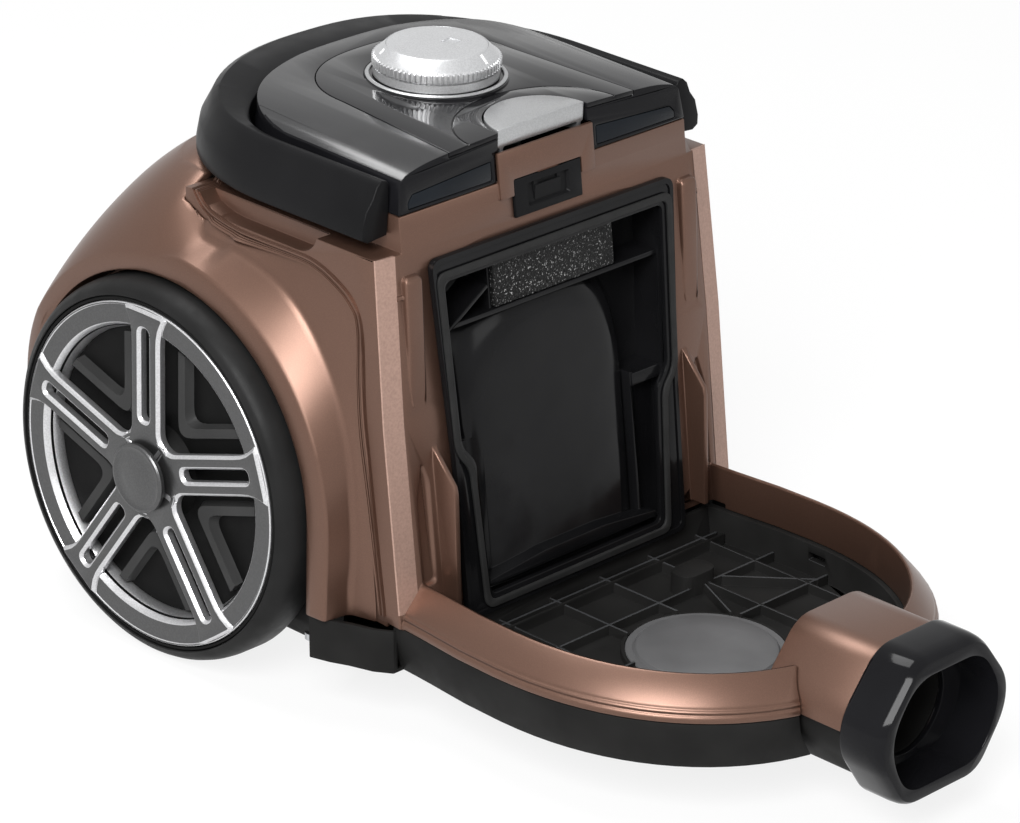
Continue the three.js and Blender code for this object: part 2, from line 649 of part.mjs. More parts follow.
function bayLiner() {
  const mouth = grown(FRAME, -MOUTH_INSET);
  const middle = mouth.map(([x, z]) => [x * 0.97, z]);
  const back = mouth.map(([x, z]) => [x * 0.78, 134 + (z - 134) * 0.86]);
  const hollow = (inset, from, depth) => {
    const ring = (outline, y) =>
      grown(outline, -inset).map(([x, z]) => new THREE.Vector3(x, faceY(z) + y, z));
    return loft([ring(mouth, from), ring(middle, BAY_DEPTH * 0.55), ring(back, depth)]);
  };
  const flange = cut(leaned(FRAME, -FRAME_T, -SEAM), leaned(WINDOW, -9, 9));
  const bay = cut(hollow(0, 0.5 - FRAME_T, BAY_DEPTH), hollow(LINER_WALL, -FRAME_T - 2, BAY_DEPTH - 2));
  return cut(join(flange, bay), disc(DUCT_R, "y", -110, BULKHEAD_Y, MOTOR_X, MOTOR_Z, 24));
}

function bayGasket() {
  const outline = grown(WINDOW, 5.6);
  return cut(leaned(outline, -FRAME_T - 1.8, -FRAME_T - SEAM), leaned(grown(WINDOW, 2.2), -9, 9));
}

// The foam lies against the ceiling of the bay.
function foamFilter() {
  const ceiling = FRAME[0][1] - MOUTH_INSET - LINER_WALL - SEAM;
  return leaned([[-46, 185], [-46, ceiling], [46, ceiling], [46, 185]], 6, 26);
}

function latchPlate() {
  const plate = leaned([[-22, 226.3], [-22, 244.2], [22, 244.2], [22, 226.3]], -1.2, 1.2);
  return cut(plate, leaned([[-10, 230.5], [-10, 239.5], [10, 239.5], [10, 230.5]], -4, 4));
}

function latchHook() {
  const front = HOOK_Y + 9 + RUN;
  const foot = box(-8.5, 8.5, HOOK_Y - 0.6, HOOK_Y + 14.5, 231.5, 235);
  const nose = box(-8.5, 8.5, HOOK_Y - 0.6, HOOK_Y + 2.4, 231.5, 238.5);
  const top = HOOK_CAM_Z + 3;
  const stem = [
    [front, 233], [front, HOOK_CAM_Z], [front + 3 * HOOK_SLOPE, top],
    [HOOK_Y + 14.5, top], [HOOK_Y + 14.5, 233],
  ];
  return join(foot, nose, slab(stem, "x", -4, 4));
}

// ---- Top ----

// Everything under the arched top of the cover, lowered by some depth.
function underCrown(depth) {
  const drops = [[-4, -14.4], [0, -8.2], [6, -5], [16, -3], [31, -1.8], [62, -0.5]];
  const outline = bothSides(drops.map(([x, z]) => [x - COVER_W, z]));
  const full = [
    ...outline, [COVER_W + 4, -60], [-COVER_W - 4, -60],
  ].map(([x, z]) => [x, z + CROWN_Z - depth]);
  const shape = new THREE.Shape(full.map(([u, v]) => new THREE.Vector2(u, v)));
  const made = new THREE.ExtrudeGeometry(shape, { depth: 160, bevelEnabled: false });
  lay(made.translate(0, 0, -130), "y");
  const rise = new THREE.Matrix4().set(
    1, 0, 0, 0, 0, 1, 0, 0, 0, CROWN_RISE, 1, -COVER_FRONT_Y * CROWN_RISE, 0, 0, 0, 1,
  );
  return solid(made.applyMatrix4(rise));
}

const crownZ = (y) => CROWN_Z + (y - COVER_FRONT_Y) * CROWN_RISE;

function coverPlan(inset, z) {
  const slope = z > 262 ? 0 : ((262 - z) * (ROOF_W - COVER_W)) / (262 - ROOF_Z);
  const width = COVER_W + slope - inset;
  const front = faceY(Math.min(z, 262)) + inset;
  return wholeBow(width, front, COVER_SQUARE_Y, COVER_BACK_Y + slope - inset, 2.5);
}

const panelPlan = (by) => wholeBow(PANEL_W - 6 + by, COVER_FRONT_Y - 10, -40, PANEL_BACK_Y + by, 2.4).map(
  ([x, y]) => [x * (y < -40 ? 1 + ((-40 - y) * 6) / (75 * (PANEL_W - 6)) : 1), y],
);

function buttonPlan(by) {
  const points = [];
  for (let i = 0; i <= 16; i++) {
    const a = (Math.PI * i) / 16;
    points.push([-(BUTTON_W + by) * Math.cos(a), COVER_FRONT_Y + 1 + (BUTTON_L - 1 + by) * Math.sin(a)]);
  }
  return points;
}

function topCover() {
  const levels = [ROOF_Z + SEAM, 262, 280];
  const body = (inset, low) => loft(levels.map((z, i) => ringAt(coverPlan(inset, z), i ? z : z - low)));
  const shell = cut(body(0, 0).intersect(underCrown(0)), body(WALL, 5).intersect(underCrown(WALL)));
  return cut(
    shell,
    cut(slab(panelPlan(SEAM), "z", 240, 290), underCrown(WALL + 0.2)),
    slab(panelPlan(-4), "z", 240, 290),
    leaned([[-31.8, 240], [-31.8, 259.1], [31.8, 259.1], [31.8, 240]], -10, 12),
    stripSolid(-1, SEAM, -3, 1.3),
    stripSolid(1, SEAM, -3, 1.3),
  );
}

// A plate let into the front of the cover beside the button.
function stripSolid(side, grow, from, to) {
  const [a, b] = onSide(side, STRIP_IN - grow, STRIP_OUT + grow);
  const high = (x) => 258.5 + (Math.abs(x) < 60 ? 3.2 : 0) + grow;
  return leaned([[a, ROOF_Z + 2.2 - grow], [a, high(a)], [b, high(b)], [b, ROOF_Z + 2.2 - grow]], from, to);
}

function controlPanel() {
  const plate = cut(slab(panelPlan(0), "z", 240, 290).intersect(underCrown(0)), underCrown(WALL - 0.1));
  const ahead = box(-COVER_W, COVER_W, -150, faceY(262) + 0.2, 200, 300);
  const seatZ = crownZ(KNOB_Y);
  const round = (radius, from, to) => disc(radius, "z", from, to, 0, KNOB_Y, 28);
  const body = join(cut(plate, ahead), round(KNOB_R + 3.4, seatZ - 3, seatZ));
  return cut(body, round(KNOB_R + 3.4, seatZ, 290), round(8, 240, 290), slab(buttonPlan(0.8), "z", 240, 290));
}

function releaseButton() {
  const front = faceY(262) + 1.2;
  const trim = box(-60, 60, -150, front, 200, 300);
  const top = cut(slab(buttonPlan(0), "z", 259.6, 280).intersect(underCrown(-0.8)), trim);
  const skirt = cut(slab(buttonPlan(-1.5), "z", 255.5, 264), slab(buttonPlan(-4), "z", 250, 262), trim);
  const [low, high] = [HOOK_CAM_Z - BUTTON_TRAVEL, HOOK_CAM_Z + 3];
  const wedge = [
    [HOOK_Y + 5, low], [HOOK_Y + 9 - BUTTON_TRAVEL * HOOK_SLOPE, low], [HOOK_Y + 9 + 3 * HOOK_SLOPE, high],
    [HOOK_Y + 9 + 3 * HOOK_SLOPE, 264], [HOOK_Y + 5, 264],
  ];
  const post = disc(5.5, "z", BUTTON_SPRING.z1, 264, 0, BUTTON_SPRING.y, 12);
  return join(top, skirt, post, slab(wedge, "x", -5, 5));
}

// Knob parts turn about their own axis.
const knobGroup = new THREE.Group();
knobGroup.position.set(0, KNOB_Y, crownZ(KNOB_Y));
cleaner.add(knobGroup);
const KNOB_H = KNOB_Z - crownZ(KNOB_Y);

function knob() {
  const r = KNOB_R;
  const top = [[r - 6, KNOB_H - 0.8], [r - 6.3, KNOB_H - 1.9], [3.4, KNOB_H - 1.9]];
  const skirt = [[r - 2.5, 0.8], [r - 0.3, 0.8], [r, 5.4], [r, 9.8]];
  const stem = [[3.4, -6], [6, -6], [6, KNOB_H - 5], [r - 6, KNOB_H - 5]];
  return turned([...skirt, ...top, ...stem], "z", 28);
}

function knobCap() {
  const r = KNOB_R - 6.7;
  return turned(
    [[0.01, KNOB_H - 1.6], [r, KNOB_H - 1.6], [r, KNOB_H - 0.4], [r - 0.8, KNOB_H], [0.01, KNOB_H]], "z", 24,
  );
}

function knobRing() {
  const [inner, outer] = [KNOB_R + 0.9, KNOB_R + 2.8];
  return turned([[inner, SEAM], [outer, SEAM], [outer, 0.9], [inner, 1.3]], "z", 28);
}

function powerControl() {
  const body = box(-13, 13, KNOB_Y - 13, KNOB_Y + 13, 250.2, 262);
  return join(body, disc(3, "z", 260, KNOB_Z - 3, 0, KNOB_Y, 12));
}

const controlBoard = () => box(-36, 36, KNOB_Y - 22, KNOB_Y + 22, 249 + SEAM, 250.2 - SEAM);

// ---- Carry handle ----

function carryHandle() {
  const curve = (width, backY, power) => bow(width, HANDLE_FRONT_Y, COVER_SQUARE_Y, backY, power, 9);
  const inner = curve(ROOF_W + 0.5, COVER_BACK_Y + HANDLE_GAP, 2.5);
  const innerLow = curve(ROOF_W + 1.3, COVER_BACK_Y + 9, 2.4);
  const across = (share) => THREE.MathUtils.lerp(ROOF_W, BODY_W + 1.5, share);
  const crest = curve(across(0.286), 45, 2.5);
  const flank = curve(across(0.613), 55, 2.3);
  const outer = curve(across(1), 61, 2.2);
  const under = curve(across(0.792), 56, 2.2);
  const section = (i) => {
    const at = ([x, y], z) => new THREE.Vector3(x, y, z);
    const top = HANDLE_TOP_Z + 6 * THREE.MathUtils.smoothstep(i, 2, 9);
    return [
      at(inner[i], top - 1.5), at(crest[i], top), at(flank[i], top - 9), at(outer[i], HANDLE_LOW_Z + 6),
      at(outer[i], HANDLE_LOW_Z + 2), at(under[i], HANDLE_LOW_Z), at(innerLow[i], HANDLE_LOW_Z + 1),
      at(inner[i], HANDLE_LOW_Z + 12),
    ];
  };
  const left = inner.map((_, i) => section(i));
  const mirrored = (ring) => ring.map((p) => new THREE.Vector3(-p.x, p.y, p.z));
  const band = loft([...left, ...left.slice(0, -1).toReversed().map(mirrored)]);
  return cut(band, ...[-1, 1].map((side) => handleBore(side, HANDLE_PIN_R + RUN, ROOF_W, ROOF_W + 9)));
}

const handlePin = (side) => handleBore(side, HANDLE_PIN_R, ROOF_W - WALL - 4, ROOF_W + 8.5);

// ---- Wheels, drawn about the axle with the outside towards +X ----

function tyre() {
  const seat = TRIM_R + 2.5;
  const tread = [[WHEEL_R - 3, TYRE_IN_X], [WHEEL_R, TYRE_IN_X + 4], [WHEEL_R, TYRE_OUT_X - 11]];
  const shoulder = [[WHEEL_R - 1.3, TYRE_OUT_X - 5.5], [WHEEL_R - 4.5, TYRE_OUT_X - 1.3]];
  return turned([[seat, TYRE_IN_X], ...tread, ...shoulder, [seat, TYRE_OUT_X]], "x", WHEEL_SIDES);
}

function wheelDisc() {
  const rim = TRIM_R + 2.5 - SEAM;
  const [floor, face, lip] = [TYRE_OUT_X - 10, TYRE_OUT_X - 3.6, TYRE_OUT_X - 0.6];
  const bore = AXLE_R + RUN;
  const inside = [
    [bore, TYRE_IN_X], [HUB_R, TYRE_IN_X], [HUB_R, floor - 6],
    [TRIM_R - 4, floor - 3], [TRIM_R - 4, TYRE_IN_X + 1],
  ];
  const edge = [[rim, TYRE_IN_X + 1], [rim, lip], [TRIM_R + 0.6, lip], [TRIM_R + 0.6, face]];
  const dish = [[RING_R - 1, face], [RING_R - 5, floor], [24, floor], [20, face], [bore, face]];
  return turned([...inside, ...edge, ...dish], "x", WHEEL_SIDES);
}

function wheelTrim() {
  const back = TYRE_OUT_X - 3.3;
  const [face, half, bore] = [TYRE_OUT_X + 1.6, SPOKE_W / 2, CAP_R + 0.5];
  const rim = [[RING_R, back], [TRIM_R, back], [TRIM_R, TYRE_OUT_X], [RING_R + 2, TYRE_OUT_X - 0.6]];
  const hub = [
    [11, back], [23, back], [22, face + 1.4], [bore, face + 2.4], [bore, face - 1.1], [11, face - 1.1],
  ];
  const [flare, tip] = [RING_R + 3, RING_R + 10];
  const bar = [
    [-half, 19], [half, 19], [half - 1, flare], [half - 5, tip], [5 - half, tip], [1 - half, flare],
  ];
  const slot = [[-3.4, 27], [0, 24.5], [3.4, 27], [3.4, flare - 5], [0, flare - 2.5], [-3.4, flare - 5]];
  const spokes = Array.from({ length: SPOKES }, (_, i) => {
    const turn = (2 * Math.PI * i) / SPOKES;
    const [c, s] = [Math.cos(turn), Math.sin(turn)];
    const spun = (outline) => outline.map(([y, z]) => [y * c - z * s, y * s + z * c]);
    return cut(slab(spun(bar), "x", back, face), slab(spun(slot), "x", back - 1, face + 9));
  });
  return join(turned(rim, "x", WHEEL_SIDES), turned(hub, "x", 16), ...spokes);
}

function hubCap() {
  const [back, r] = [TYRE_OUT_X + 4, CAP_R];
  const edge = [[r, back], [r, back + 2], [r - 2, back + 3.2], [r - 5, back + 2.4]];
  return turned([[0.01, back], ...edge, [0.01, back + 3]], "x", 16);
}

function axleBolt() {
  const [inner, outer, r] = [BODY_W - 14, TYRE_OUT_X + 1.5, 9];
  const shaft = [[AXLE_R, inner + 4.7], [AXLE_R, outer - 4.5]];
  return turned(
    [[0.01, inner], [r, inner], [r, inner + 4.7], ...shaft, [r, outer - 4.5], [r, outer], [0.01, outer]], "x",
    16,
  );
}

// ---- Caster ----

function casterFork() {
  const top = DECK_Z - WALL - SEAM;
  const half = CASTER_W / 2;
  const plate = disc(CASTER_PLATE_R, "z", top - 3, top, 0, 0, 28);
  const stem = disc(CASTER_STEM_R, "z", top - 1, DECK_Z + 0.6, 0, 0, 20);
  const [rear, eye] = [CASTER_TRAIL, CASTER_R];
  const arm = slab(
    [[rear - 14, top - 1], [rear + 9, top - 1], [rear + 5, eye - 3], [rear, eye - 5], [rear - 5, eye - 3]],
    "x", -half - 3.4, half + 3.4,
  );
  const room = box(-half - RUN, half + RUN, -60, 60, -10, top - 3);
  const hole = disc(2.1, "x", -20, 20, rear, eye, 16);
  return cut(join(plate, stem, cut(arm, room)), hole);
}

const casterWheel = () => turned(
  [
    [2 + RUN, -CASTER_W / 2], [CASTER_R - 2, -CASTER_W / 2], [CASTER_R, -CASTER_W / 2 + 2.5],
    [CASTER_R, CASTER_W / 2 - 2.5], [CASTER_R - 2, CASTER_W / 2], [2 + RUN, CASTER_W / 2],
  ],
  "x", 20,
);

const casterPin = () => disc(2, "x", -CASTER_W / 2 - 3.3, CASTER_W / 2 + 3.3, 0, 0, 16);

const casterCap = () => turned(
  [
    [0.01, DECK_Z + 1.1], [CASTER_CAP_R, DECK_Z + 1.1], [CASTER_CAP_R, DECK_Z + 3.2],
    [CASTER_CAP_R - 1.5, DECK_Z + 4.6], [CASTER_CAP_R - 12, DECK_Z + 5.4], [0.01, DECK_Z + 5.7],
  ],
  "z", 24,
);

// ---- Hose inlet ----

function inletDuct() {
  const outer = slab(inletSection(-SEAM - 2.4), "y", COLLAR_Y + SEAM, INLET_BACK_Y - 1);
  return cut(outer, disc(DUCT_R, "y", COLLAR_Y - 5, INLET_BACK_Y + 5, 0, INLET_Z));
}

function inletSleeve() {
  const shell = cut(
    slab(inletSection(-SEAM), "y", COLLAR_Y + SEAM, INLET_BACK_Y),
    slab(inletSection(-2.4), "y", COLLAR_Y - 5, INLET_BACK_Y + 9),
  );
  return cut(shell, box(-90, 90, -400, -200, 0, INLET_Z));
}

function inletCollar() {
  const ring = (by, y) => inletSection(by).map(([x, z]) => new THREE.Vector3(x, y, z));
  const outer = loft([
    ring(-2, INLET_FRONT_Y), ring(COLLAR_GROW - 1, INLET_FRONT_Y + 3.5),
    ring(COLLAR_GROW, INLET_FRONT_Y + 8), ring(COLLAR_GROW, COLLAR_Y - 2), ring(COLLAR_GROW - 1.5, COLLAR_Y),
  ]);
  const mouth = inletSection(PORT_W - INLET_W, 11);
  return cut(
    outer, slab(mouth, "y", INLET_FRONT_Y - 5, COLLAR_Y - 3),
    disc(DUCT_R, "y", COLLAR_Y - 6, COLLAR_Y + 5, 0, INLET_Z),
  );
}

const inletSeal = () => turned(
  [[DUCT_R + 0.5, 0], [DUCT_R + 5, 0], [DUCT_R + 4, 2.4], [DUCT_R + 1.2, 2.4]], "y", 24,
);

// ---- Motor, drawn about its shaft ----

function motorBulkhead() {
  const [low, side] = [BASE_Z + 5.5, BODY_W - WALL - SEAM];
  const left = [
    [15 - BODY_W, low], [-side + 1, 46], [-side, 50], [-side, 213.5], [12 - BODY_W, 213.5],
    [12 - BODY_W, 225],
  ];
  const plate = slab(bothSides(left), "y", BULKHEAD_Y, BULKHEAD_Y + WALL);
  return cut(plate, disc(30, "y", BULKHEAD_Y - 5, BULKHEAD_Y + 9, MOTOR_X, MOTOR_Z));
}

const frontMotorSeal = () => ringOf(32, FAN_R + 2, BULKHEAD_Y + WALL + SEAM, FAN_Y - SEAM);

const ringOf = (inner, outer, from, to, axis = "y", sides = 24) =>
  turned([[inner, from], [outer, from], [outer, to], [inner, to]], axis, sides);

const fanCover = () => turned(
  [
    [18, FAN_Y], [FAN_R + 5, FAN_Y], [FAN_R + 5, CAN_Y - SEAM], [FAN_R + 3, CAN_Y - SEAM],
    [FAN_R + 3, FAN_Y + 2], [18, FAN_Y + 2],
  ],
  "y", 24,
);

const fanImpeller = () => turned(
  [
    [SHAFT_R + SEAM, FAN_Y + 4], [9, FAN_Y + 4], [FAN_R, FAN_Y + 16], [FAN_R, FAN_Y + 19],
    [SHAFT_R + SEAM, FAN_Y + 19],
  ],
  "y", 24,
);

function motorHousing() {
  const bore = SHAFT_R + RUN;
  return turned(
    [
      [bore, CAN_Y], [FAN_R + 5, CAN_Y], [FAN_R + 5, CAN_Y + 2], [MOTOR_R, CAN_Y + 4], [MOTOR_R, CAN_BACK_Y],
      [10, CAN_BACK_Y], [10, CAN_BACK_Y - 2], [MOTOR_R - 2, CAN_BACK_Y - 2], [MOTOR_R - 2, CAN_Y + 2.4],
      [bore, CAN_Y + 2.4],
    ],
    "y", 24,
  );
}

const armature = () => turned(
  [
    [0.01, FAN_Y + 3], [SHAFT_R, FAN_Y + 3], [SHAFT_R, 4], [24, 4], [24, 36], [13, 38], [13, 48],
    [SHAFT_R, 48], [SHAFT_R, CAN_BACK_Y - 1], [0.01, CAN_BACK_Y - 1],
  ],
  "y", 16,
);

const rearMotorMount = () => ringOf(MOTOR_R + 2 * SEAM, MOTOR_R + 3.5, 32, 40, "y", 24);

// ---- Cord reel ----

function cordDrum() {
  const [half, bore] = [REEL_W / 2, REEL_PIN_R + RUN];
  return turned(
    [
      [bore, -half], [REEL_R, -half], [REEL_R, 2 - half], [26, 2 - half], [26, half - 2], [REEL_R, half - 2],
      [REEL_R, half], [bore, half],
    ],
    "x", 28,
  );
}

const springCase = () => ringOf(REEL_PIN_R + RUN, 36, -REEL_W / 2 - 7, -REEL_W / 2 - SEAM, "x", 20);

function drumBracket() {
  const x = REEL_X + REEL_W / 2 + 4.5;
  const outline = [
    [REEL_Y - 14, 52.3], [REEL_Y + 14, 52.3], [REEL_Y + 14, REEL_Z], [BRAKE_Y + 6, BRAKE_Z - 4],
    [BRAKE_Y + 4, BRAKE_Z + 5], [BRAKE_Y - 4, BRAKE_Z + 5], [REEL_Y - 10, REEL_Z + 12],
  ];
  const plate = slab(outline, "x", x, x + 3.5);
  const pin = disc(REEL_PIN_R, "x", REEL_X - REEL_W / 2 - 8, x + 1, REEL_Y, REEL_Z, 24);
  const brakePin = disc(2.5, "x", PEDAL.x0 + 2, x + 1, BRAKE_Y, BRAKE_Z, 16);
  const springSeat = box(
    REEL_BRAKE_X - 22, REEL_BRAKE_X - 8, BRAKE_Y - 2, PEDAL.y0 + 12, BRAKE_Z - 1.5, BRAKE_Z + 1,
  );
  return join(plate, pin, brakePin, springSeat);
}

function brakeLever() {
  const overRim = (y) => [y, REEL_Z + Math.sqrt(REEL_R ** 2 - (y - REEL_Y) ** 2) + SEAM];
  const bar = [
    [BRAKE_Y - 19, BRAKE_Z + 2], [BRAKE_Y + 16, BRAKE_Z + 2], [BRAKE_Y + 16, BRAKE_Z - 2],
    [BRAKE_Y - 11, BRAKE_Z - 3], overRim(BRAKE_Y - 12), overRim(BRAKE_Y - 18),
  ];
  const hub = disc(5, "x", REEL_BRAKE_X - 3, REEL_BRAKE_X + 3, BRAKE_Y, BRAKE_Z, 20);
  const bore = disc(2.5 + RUN, "x", REEL_BRAKE_X - 9, REEL_BRAKE_X + 9, BRAKE_Y, BRAKE_Z, 16);
  return cut(join(slab(bar, "x", REEL_BRAKE_X - 3, REEL_BRAKE_X + 3), hub), bore);
}

function rewindPedal() {
  const { x0, x1, y0, y1 } = PEDAL;
  const cap = cut(domeBlock(-1), domeBlock(2.2)).intersect(box(x0, x1, y0, y1, 150, 260));
  const stem = box(
    REEL_BRAKE_X - 2.5, REEL_BRAKE_X + 2.5, BRAKE_Y + 10, BRAKE_Y + 15, BRAKE_Z + 2 + SEAM, 205,
  );
  const pad = disc(5.5, "z", PEDAL_UNDER_Z, 205, PEDAL_SPRING.x, PEDAL_SPRING.y, 12);
  return join(cap, join(stem, pad).intersect(domeBlock(1)));
}

// A coil spring's outer shape: an open tube between its two seats.
function coil({ x, y, r, z0, z1 }) {
  const bore = disc(r - 1.4, "z", z0 - 1, z1 + 1, x, y, 16);
  return cut(disc(r, "z", z0 + SEAM, z1 - SEAM, x, y, 16), bore);
}

// ---- Back ----

const cordGland = () => turned(
  [
    [5, 110], [GLAND_R, 110], [GLAND_R, BACK_Y - 1.8], [GLAND_R + 2.5, BACK_Y - 1.8], [GLAND_R + 2.5, BACK_Y],
    [5, BACK_Y],
  ],
  "y", 24,
);

const exhaustFilter = () => box(GRILLE.x0 + 2, GRILLE.x1 - 2, 86, 102, 62 + SEAM, GRILLE.z1 - 2);

function exhaustGrille() {
  const { x0, x1, z0, z1, slots } = GRILLE;
  const plate = cut(domeBlock(0), domeBlock(WALL)).intersect(box(x0, x1, 80, 140, z0, z1));
  const pitch = (z1 - z0 - 8) / slots;
  const gaps = Array.from({ length: slots }, (_, i) => {
    const z = z0 + 4 + pitch * (i + 0.5);
    return box(x0 + 5, x1 - 5, 70, 150, z - pitch * 0.25, z + pitch * 0.25);
  });
  return cut(plate, ...gaps);
}

const bodyScrew = () => turned([[0.01, 0.4], [4.2, 0.4], [4.2, 3.6], [2, 3.8], [2, 36], [0.01, 38]], "z", 12);

add("base_tray", baseTray(), black);
add("front_housing", frontHousing(), bronze);
add("rear_housing", rearHousing(), bronze);
add("bay_liner", bayLiner(), gloss);
add("bay_gasket", bayGasket(), rubber);
add("foam_filter", foamFilter(), foam);
add("latch_plate", latchPlate(), black);
add("latch_hook", latchHook(), black);
add("top_cover", topCover(), black);
add("control_panel", controlPanel(), gloss);
add("left_front_strip", stripSolid(-1, 0, 0.1, 1), grey);
add("right_front_strip", stripSolid(1, 0, 0.1, 1), grey);
add("release_button", releaseButton(), silver);
add("knob", knob(), silver, knobGroup);
add("knob_cap", knobCap(), silver, knobGroup);
add("knob_ring", knobRing(), silver, knobGroup);
add("power_control", powerControl(), grey);
add("control_board", controlBoard(), green);
add("carry_handle", carryHandle(), black);
add("left_handle_pin", handlePin(-1), steel);
add("right_handle_pin", handlePin(1), steel);
for (const [side, name] of [[-1, "left"], [1, "right"]]) {
  const wheel = new THREE.Group();
  wheel.position.z = WHEEL_R;
  wheel.rotation.z = side < 0 ? Math.PI : 0;
  cleaner.add(wheel);
  add(name + "_tyre", tyre(), rubber, wheel);
  add(name + "_wheel_disc", wheelDisc(), black, wheel);
  add(name + "_wheel_trim", wheelTrim(), silver, wheel);
  add(name + "_hub_cap", hubCap(), silver, wheel);
  add(name + "_axle_bolt", axleBolt(), steel, wheel);
}
const caster = new THREE.Group();
caster.position.y = CASTER_Y;
cleaner.add(caster);
add("caster_fork", casterFork(), grey, caster);
add("caster_cap", casterCap(), grey, caster);
add("caster_wheel", casterWheel(), rubber, caster).position.set(0, CASTER_TRAIL, CASTER_R);
add("caster_pin", casterPin(), steel, caster).position.set(0, CASTER_TRAIL, CASTER_R);
add("inlet_duct", inletDuct(), black);
add("inlet_sleeve", inletSleeve(), bronze);
add("inlet_collar", inletCollar(), gloss);
add("inlet_seal", inletSeal(), rubber).position.set(0, INLET_BACK_Y - 1 + SEAM, INLET_Z);
const motor = new THREE.Group();
motor.position.set(MOTOR_X, 0, MOTOR_Z);
cleaner.add(motor);
add("motor_bulkhead", motorBulkhead(), black);
add("front_motor_seal", frontMotorSeal(), rubber, motor);
add("fan_cover", fanCover(), steel, motor);
add("fan_impeller", fanImpeller(), steel, motor);
add("motor_housing", motorHousing(), steel, motor);
add("armature", armature(), steel, motor);
add("rear_motor_mount", rearMotorMount(), rubber, motor);
const reel = new THREE.Group();
reel.position.set(REEL_X, REEL_Y, REEL_Z);
cleaner.add(reel);
add("cord_drum", cordDrum(), grey, reel);
add("spring_case", springCase(), grey, reel);
add("drum_bracket", drumBracket(), black);
add("brake_lever", brakeLever(), grey);
add("rewind_pedal", rewindPedal(), black);
add("pedal_spring", coil(PEDAL_SPRING), steel);
add("button_spring", coil(BUTTON_SPRING), steel);
add("cord_gland", cordGland(), rubber).position.set(REEL_X, 0, GLAND_Z);
add("exhaust_filter", exhaustFilter(), paper);
add("exhaust_grille", exhaustGrille(), black);
SCREWS.forEach(([x, y], i) => {
  add("body_screw_" + (i + 1), bodyScrew(), steel).position.set(x, y, BASE_Z);
});

cleaner.position.y = -(INLET_FRONT_Y + BACK_Y) / 2;
export default cleaner;
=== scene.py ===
"""Dresses the body of a bagless cylinder vacuum cleaner around its CAD frame."""

import json
import math

import bmesh
import bpy
from mathutils import Matrix, Vector

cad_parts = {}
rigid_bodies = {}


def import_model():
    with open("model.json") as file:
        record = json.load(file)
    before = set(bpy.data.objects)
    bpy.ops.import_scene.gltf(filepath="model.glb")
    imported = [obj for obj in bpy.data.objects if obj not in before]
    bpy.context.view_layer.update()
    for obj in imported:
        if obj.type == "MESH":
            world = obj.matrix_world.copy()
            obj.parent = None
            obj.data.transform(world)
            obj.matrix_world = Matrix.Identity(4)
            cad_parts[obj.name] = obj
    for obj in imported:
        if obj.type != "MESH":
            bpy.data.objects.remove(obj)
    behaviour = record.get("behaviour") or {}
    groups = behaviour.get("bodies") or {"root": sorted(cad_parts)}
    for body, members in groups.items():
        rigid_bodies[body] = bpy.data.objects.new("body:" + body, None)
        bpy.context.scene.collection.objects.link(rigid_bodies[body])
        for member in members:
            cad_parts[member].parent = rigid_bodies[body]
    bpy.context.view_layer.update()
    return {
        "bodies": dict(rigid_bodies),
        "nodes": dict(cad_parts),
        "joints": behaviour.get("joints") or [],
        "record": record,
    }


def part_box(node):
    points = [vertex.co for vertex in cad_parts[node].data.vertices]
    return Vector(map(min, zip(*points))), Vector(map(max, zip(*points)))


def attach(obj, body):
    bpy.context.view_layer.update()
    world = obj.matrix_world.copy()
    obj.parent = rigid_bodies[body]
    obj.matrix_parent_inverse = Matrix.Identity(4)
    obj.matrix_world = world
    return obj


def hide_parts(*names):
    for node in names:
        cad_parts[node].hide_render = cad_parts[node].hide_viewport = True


bl_info = {
    "name": "Cylinder Vacuum Cleaner",
    "version": (1, 0, 0),
    "blender": (4, 5, 0),
    "location": "3D View > Sidebar > Cleaner",
    "description": "Shells, wheels, controls and finishes of a bagless cylinder cleaner",
    "category": "Add Mesh",
}

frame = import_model()


def span(node):
    """A CAD node's lowest and highest corner, in millimetres."""
    low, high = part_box(node)
    return low * 1000, high * 1000


# Everything below is drawn in millimetres from the wheel axle: Y 0 is the axle, Z 0 the floor.
TYRE_LOW, TYRE_HIGH = span("right_tyre")
AXLE_Y = (TYRE_LOW.y + TYRE_HIGH.y) / 2
WHEEL_R = TYRE_HIGH.z / 2
TYRE_IN_X, TYRE_OUT_X = TYRE_LOW.x, TYRE_HIGH.x
TRIM_R = (span("right_wheel_trim")[1].z - span("right_wheel_trim")[0].z) / 2
COLLAR_LOW, COLLAR_HIGH = span("inlet_collar")
INLET_Z = (COLLAR_LOW.z + COLLAR_HIGH.z) / 2
INLET_FRONT_Y = COLLAR_LOW.y - AXLE_Y
COLLAR_Y = COLLAR_HIGH.y - AXLE_Y
INLET_BACK_Y = span("inlet_sleeve")[1].y - AXLE_Y
KNOB_LOW, KNOB_HIGH = span("knob")
KNOB_Y = (KNOB_LOW.y + KNOB_HIGH.y) / 2 - AXLE_Y
KNOB_R = KNOB_HIGH.x
CASTER_Y = (span("caster_cap")[0].y + span("caster_cap")[1].y) / 2 - AXLE_Y
CASTER_CAP_R = span("caster_cap")[1].x
SHELL_Z = 52
FENDER_X = span("rear_housing")[1].x
DECK_Z = span("caster_cap")[0].z - 1.1

